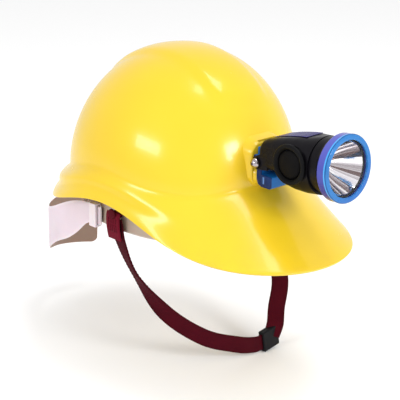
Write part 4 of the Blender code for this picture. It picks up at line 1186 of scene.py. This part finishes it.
def make_cradle():
    """Crown webbing: three tapes over the crown, with their stitching."""
    for index, degrees in enumerate((-38, 38, 90)):
        turn = radians(degrees)
        along = Vector(at(turn, 1.0, 0))
        side = Vector((-along.y, along.x, 0))
        reach_a = plan_radius(turn, BAND_HALF_WIDTH, BAND_FRONT, BAND_REAR, 2.3) - 5.5
        reach_b = plan_radius(turn + pi, BAND_HALF_WIDTH, BAND_FRONT, BAND_REAR, 2.3) - 5.5
        low = BAND_BOTTOM + BAND_TALL + 3.0
        rise = CRADLE_RISE + index * 3.4
        centres = []
        for k in range(201):
            a = pi * k / 200
            reach = reach_a if a < pi / 2 else reach_b
            point = along * reach * cos(a)
            centres.append(Vector((point.x, point.y, low + rise * sin(a) ** 0.8)))
        widths = [side for _ in centres]
        name = f"crown_tape_{index + 1}"
        mesh = tape(name, centres[::3], widths[::3], WEB_WIDTH, 1.2)
        piece(name, mesh, CRADLE, "helmet", [f"crown_strap_{index + 1}"])
        places = seams(centres, widths, (-7.5, -3.0, 3.0, 7.5), 3.2, 1.2, 4.0, 22.0)
        repeat(name + "_stitches", stitch_mesh(), places, CRADLE, "helmet", 1.0)


# ---------------------------------------------------------------- lamp
def section(forward, half_width, bottom, top, corner, inset=0.0):
    """One ring of the lamp's body; bottom and top are measured from the lamp's axis."""
    half = (top - bottom) / 2 - inset
    middle = LAMP_AXIS_Z + (top + bottom) / 2
    radius = min(max(corner - inset, 1.0), half - 0.01, half_width - inset - 0.01)
    outline = rounded_rectangle(half_width - inset, half, radius, 10)
    return [(x, -forward, middle + z) for x, z in outline]


def make_housing():
    """The battery housing, its ears and the switch opening."""
    knots = REAR_RINGS + BODY_RINGS
    dense = []
    for index in range(len(knots) - 1):
        a, b = knots[index], knots[index + 1]
        count = max(3, int((b[0] - a[0]) / 1.2))
        for k in range(count):
            dense.append(tuple(p + (q - p) * k / count for p, q in zip(a, b)))
    dense.append(knots[-1])
    body = skin("housing", [section(*r) for r in dense], cap=True)
    hollow = skin(
        "hollow",
        [section(*r, 2.2) for r in BODY_RINGS] + [section(BODY_SPLIT + 2, *BODY_RINGS[-1][1:], 2.2)],
        cap=True,
    )
    bore = turned(
        "bore", [(0.0, 24.0), (COLLAR_BORE, 24.0), (COLLAR_BORE, 0.0), (0.0, 0.0)],
        (-40.0, -BUTTON_FORWARD, LAMP_AXIS_Z + BUTTON_UP), (1, 0, 0), 64,
    )
    notch = box_mesh((-EAR_INNER + 0.1, -WEB_FRONT - 2.4, 50.0), (EAR_INNER - 0.1, -95.0, PIVOT_Z + 5.2))
    changes = [cut(hidden("hollow", hollow)), cut(hidden("notch", notch)), cut(hidden("bore", bore))]
    for side in (-1, 1):
        points = [(5.6 * cos(a), 5.6 * sin(a)) for a in [radians(75 - 11 * k) for k in range(17)]]
        outline = [(-12.0, 12.0)] + points + [(-12.0, -5.0)]
        rows = []
        for x, grow in ((EAR_INNER, 0.0), (REAR_HALF - 0.6, 0.0), (REAR_HALF - 0.1, -0.5)):
            share = 1 + grow / 6
            rows.append([(side * x, -PIVOT_FORWARD + p * share, PIVOT_Z + q * share) for p, q in outline])
        ear = hidden(f"ear_{side}", skin("ear", rows, cap=True))
        changes.append(cut(ear, "UNION"))
        hole = turned(
            "hole", [(0.0, 12.0), (2.3, 12.0), (2.3, 0.0), (0.0, 0.0)],
            (side * (EAR_INNER - 3), -PIVOT_FORWARD, PIVOT_Z), (side, 0, 0), 32,
        )
        changes.append(cut(hidden(f"ear_hole_{side}", hole)))
    mesh = baked(body, *changes)
    clear_helpers()
    piece("battery_housing", smooth(on_lamp(mesh), 35), BLACK, "lamp", ["rear_housing"])


def lamp_turned(name, profile, forward, finish, node=None, steps=128, reach=0.4, angle=30):
    profile = rounded(profile, reach) if reach else profile
    mesh = turned(name, profile, (0, -forward, LAMP_AXIS_Z), (0, -1, 0), steps, angle)
    return piece(name, on_lamp(mesh), finish, "lamp", [node] if node else ())


def make_head():
    """Barrel, the blue bezel, lens, reflector and emitter."""
    length = BODY_FRONT - BODY_SPLIT - 0.3
    profile = [
        (BARREL_RADIUS, length), (BARREL_RADIUS, length - 3.0), (BARREL_NECK + 0.8, length - 5.2),
        (BARREL_NECK, length - 7.6), (BARREL_NECK, 0.8), (BARREL_NECK - 0.4, 0.0),
        (BARREL_NECK - 2.2, 0.0), (BARREL_NECK - 2.2, length - 6.4), (BARREL_RADIUS - 2.2, length - 2.6),
        (BARREL_RADIUS - 2.2, length),
    ]
    lamp_turned("barrel", profile, BODY_SPLIT + 0.3, BLACK, "head_barrel", 128, 1.2)
    long = BEZEL_FRONT - BEZEL_BACK
    seat = long - BEZEL_LIP
    ring = [
        (BEZEL_RADIUS - 0.9, long), (BEZEL_RADIUS, long - 1.0), (BEZEL_RADIUS - 0.15, long - 2.2),
        (BEZEL_RADIUS - 0.45, long - 2.5), (BEZEL_RADIUS - 0.3, 1.0),
        (BEZEL_RADIUS - 1.0, 0.0), (BARREL_BORE, 0.0), (BARREL_BORE, long - 5.6),
        (LENS_RADIUS + 0.4, long - 5.6), (LENS_RADIUS + 0.4, seat), (LENS_RADIUS - 1.1, seat),
        (LENS_RADIUS - 0.8, long),
    ]
    lamp_turned("bezel", ring, BEZEL_BACK, BEZEL_BLUE, "bezel_ring", 160, 0.3)
    front = BEZEL_FRONT - BEZEL_LIP - 0.3 - LENS_WALL
    glass = [
        (0.0, LENS_WALL), (LENS_RADIUS - 0.3, LENS_WALL), (LENS_RADIUS, LENS_WALL - 0.3),
        (LENS_RADIUS, 0.0), (0.0, 0.0),
    ]
    lamp_turned("lens_disc", glass, front, LENS, "lens", 128, 0)
    seal_at = front - 0.3 - 1.2
    mouth = seal_at + 1.0
    outer, inner = [], []
    for k in range(33):
        share = k / 32
        radius = 5.0 + (REFLECTOR_RADIUS - 1.0 - 5.0) * share
        height = REFLECTOR_DEPTH * (share * 0.35 + share**2 * 0.65)
        outer.append((radius, height))
        inner.append((radius - 0.9, height + 0.45))
    wall = list(reversed(outer)) + inner
    lamp_turned("bowl", wall, mouth - REFLECTOR_DEPTH, BOWL, "reflector", 160, 0, 60)
    for node, finish in (
        ("lens_seal", RUBBER), ("led_board", BOARD), ("driver_board", BOARD), ("heat_sink", ALUMINIUM),
        ("battery_pack", CELL), ("switch_body", STEEL), ("led_emitter", PHOSPHOR), ("pivot_nut", STEEL),
        ("boss_screw_left", STEEL), ("boss_screw_right", STEEL),
        ("charge_stud_1", BRASS), ("charge_stud_2", BRASS),
        ("top_label", LABEL), ("buckle", BLACK_SOFT),
        ("strap_stud_left", MAROON_BRIGHT), ("strap_stud_right", MAROON_BRIGHT), ("nape_keeper_left", MILKY),
        ("nape_keeper_right", MILKY),
        ("lug_front_left", MILKY_BAND_SHADED), ("lug_front_right", MILKY_BAND_SHADED), ("lug_rear_left", MILKY_BAND_SHADED),
        ("lug_rear_right", MILKY_BAND_SHADED),
    ):
        paint(node, finish)


def make_bracket():
    """The docking bracket with its edges rounded over."""
    bm = bmesh.new()
    bm.from_mesh(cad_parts["bracket"].data)
    bmesh.ops.remove_doubles(bm, verts=bm.verts, dist=1e-6)
    bmesh.ops.dissolve_limit(bm, angle_limit=radians(1), verts=bm.verts, edges=bm.edges)
    mesh = bpy.data.meshes.new("docking_bracket")
    bm.to_mesh(mesh)
    bm.free()
    mesh = baked(mesh, bevel(0.45, 3, 40))
    piece("docking_bracket", smooth(mesh, 40), BRACKET_BLUE, "dock", ["bracket"])


def paint(node, finish):
    """Gives a solid that keeps its shape its finish."""
    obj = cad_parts[node]
    obj.data.materials.clear()
    obj.data.materials.append(finish)


def make_switch():
    """Collar and rubber button on the right-hand side."""
    origin = (-COLLAR_FACE, -BUTTON_FORWARD, LAMP_AXIS_Z + BUTTON_UP)
    collar = [
        (COLLAR_RADIUS - 1.2, 0.0), (COLLAR_RADIUS, -1.2), (COLLAR_RADIUS, -2.6), (COLLAR_BORE - 0.3, -2.6),
        (COLLAR_BORE - 0.3, -7.5), (BUTTON_RADIUS + 0.3, -7.5), (BUTTON_RADIUS + 0.3, -2.2),
        (COLLAR_RADIUS - 3.0, 0.0),
    ]
    mesh = turned("collar", rounded(collar, 0.5, 4), origin, (-1, 0, 0), 128)
    piece("switch_ring", on_lamp(mesh), COLLAR_BLACK, "lamp", ["switch_collar"])
    button = [
        (0.0, -0.4), (3.5, -0.5), (7.0, -0.8), (9.5, -1.3),
        (BUTTON_RADIUS - 1.0, -1.8), (BUTTON_RADIUS, -2.8),
        (BUTTON_RADIUS, -6.0), (0.0, -6.0),
    ]
    mesh = turned("button", button, origin, (-1, 0, 0), 96, 50)
    piece("button_boot", on_lamp(mesh), RUBBER, "button", ["power_button"])


def make_bolt():
    """The chrome dome-headed tilt bolt with its driving recess."""
    face = EAR_INNER + EAR_WALL
    tip = BOLT_HEAD
    profile = [(0.0, tip - 1.4), (1.0, tip - 1.4), (1.15, tip - 0.12)]
    for k in range(2, 13):
        turn = pi / 2 * k / 12
        profile.append((BOLT_HEAD * sin(turn), 0.3 + (tip - 0.3) * cos(turn)))
    profile += [(2.0, 0.3), (2.0, -2 * face - 3.2), (0.0, -2 * face - 3.2)]
    mesh = turned("bolt", profile, (-face, -PIVOT_FORWARD, PIVOT_Z), (-1, 0, 0), 64)
    piece("tilt_bolt", on_lamp(mesh), CHROME, "lamp", ["pivot_bolt"])


make_shell()
make_boss()
make_chin_strap()
make_tabs()
make_nape()
make_headband()
make_brow_pad()
make_cradle()
make_housing()
make_head()
make_switch()
make_bolt()
make_bracket()


# ---------------------------------------------------------------- floor, light, camera
CAMERA_TURN = -43.52
CAMERA_RISE = 18.67
CAMERA_ROLL = 0.9
CAMERA_AWAY = 1.132
CAMERA_AIM = (0.0, -0.0214, 0.0107)
SENSOR_WIDTH = 36.0
LENS_LENGTH = 112.428
FLOOR_HALF = 15.0
FLOOR_GAP = 0.0005
SOFT_BOXES = (
    ("side", (-1.39, -0.076, 0.577), (-0.081, -0.042, 0.083), (0.63, 0.27), 6.5),
    ("front", (0.071, -1.407, 0.549), (-0.031, -0.092, 0.079), (0.42, 0.34), 9.5),
    ("top", (0.22, -0.30, 1.55), (0.0, -0.06, 0.05), (0.55, 0.55), 6.5),
)


def make_stage():
    scene = bpy.context.scene
    low = CAD_BOX[0].z - FLOOR_GAP
    bm = bmesh.new()
    bmesh.ops.create_grid(bm, x_segments=1, y_segments=1, size=FLOOR_HALF)
    bmesh.ops.translate(bm, vec=(0, 0, low), verts=bm.verts)
    mesh = bpy.data.meshes.new("floor")
    bm.to_mesh(mesh)
    bm.free()
    floor = bpy.data.objects.new("floor", mesh)
    scene.collection.objects.link(floor)
    f = Finish("floor_pale", Base_Color=(0.93, 0.93, 0.93, 1.0), Roughness=0.9, Specular_IOR_Level=0.1)
    mesh.materials.append(f.material)
    world = bpy.data.worlds.new("studio")
    scene.world = world
    world.use_nodes = True
    back = world.node_tree.nodes["Background"]
    back.inputs["Color"].default_value = (1.0, 1.0, 1.0, 1.0)
    back.inputs["Strength"].default_value = 0.95
    scene.view_settings.view_transform = "Standard"


def soft_box(name, place, target, size, watts):
    data = bpy.data.lights.new(name, "AREA")
    data.shape = "RECTANGLE"
    data.size, data.size_y = size
    data.energy = watts
    light = bpy.data.objects.new(name, data)
    bpy.context.scene.collection.objects.link(light)
    light.location = place
    light.rotation_euler = (Vector(target) - Vector(place)).to_track_quat("-Z", "Y").to_euler()


def make_camera():
    azimuth, elevation, roll = radians(CAMERA_TURN), radians(CAMERA_RISE), radians(CAMERA_ROLL)
    target = Vector(CAMERA_AIM)
    back = Vector((sin(azimuth) * cos(elevation), -cos(azimuth) * cos(elevation), sin(elevation)))
    data = bpy.data.cameras.new("camera")
    data.sensor_width = SENSOR_WIDTH
    data.lens = LENS_LENGTH
    data.clip_end = 100.0
    camera = bpy.data.objects.new("camera", data)
    bpy.context.scene.collection.objects.link(camera)
    right = Vector((0, 0, 1)).cross(back).normalized()
    up = back.cross(right)
    r = right * cos(roll) + up * sin(roll)
    u = up * cos(roll) - right * sin(roll)
    camera.matrix_world = (
        Matrix.Translation(target + back * CAMERA_AWAY) @ Matrix((r, u, back)).transposed().to_4x4()
    )
    bpy.context.scene.camera = camera


make_stage()
for box in SOFT_BOXES:
    soft_box(*box)
make_camera()
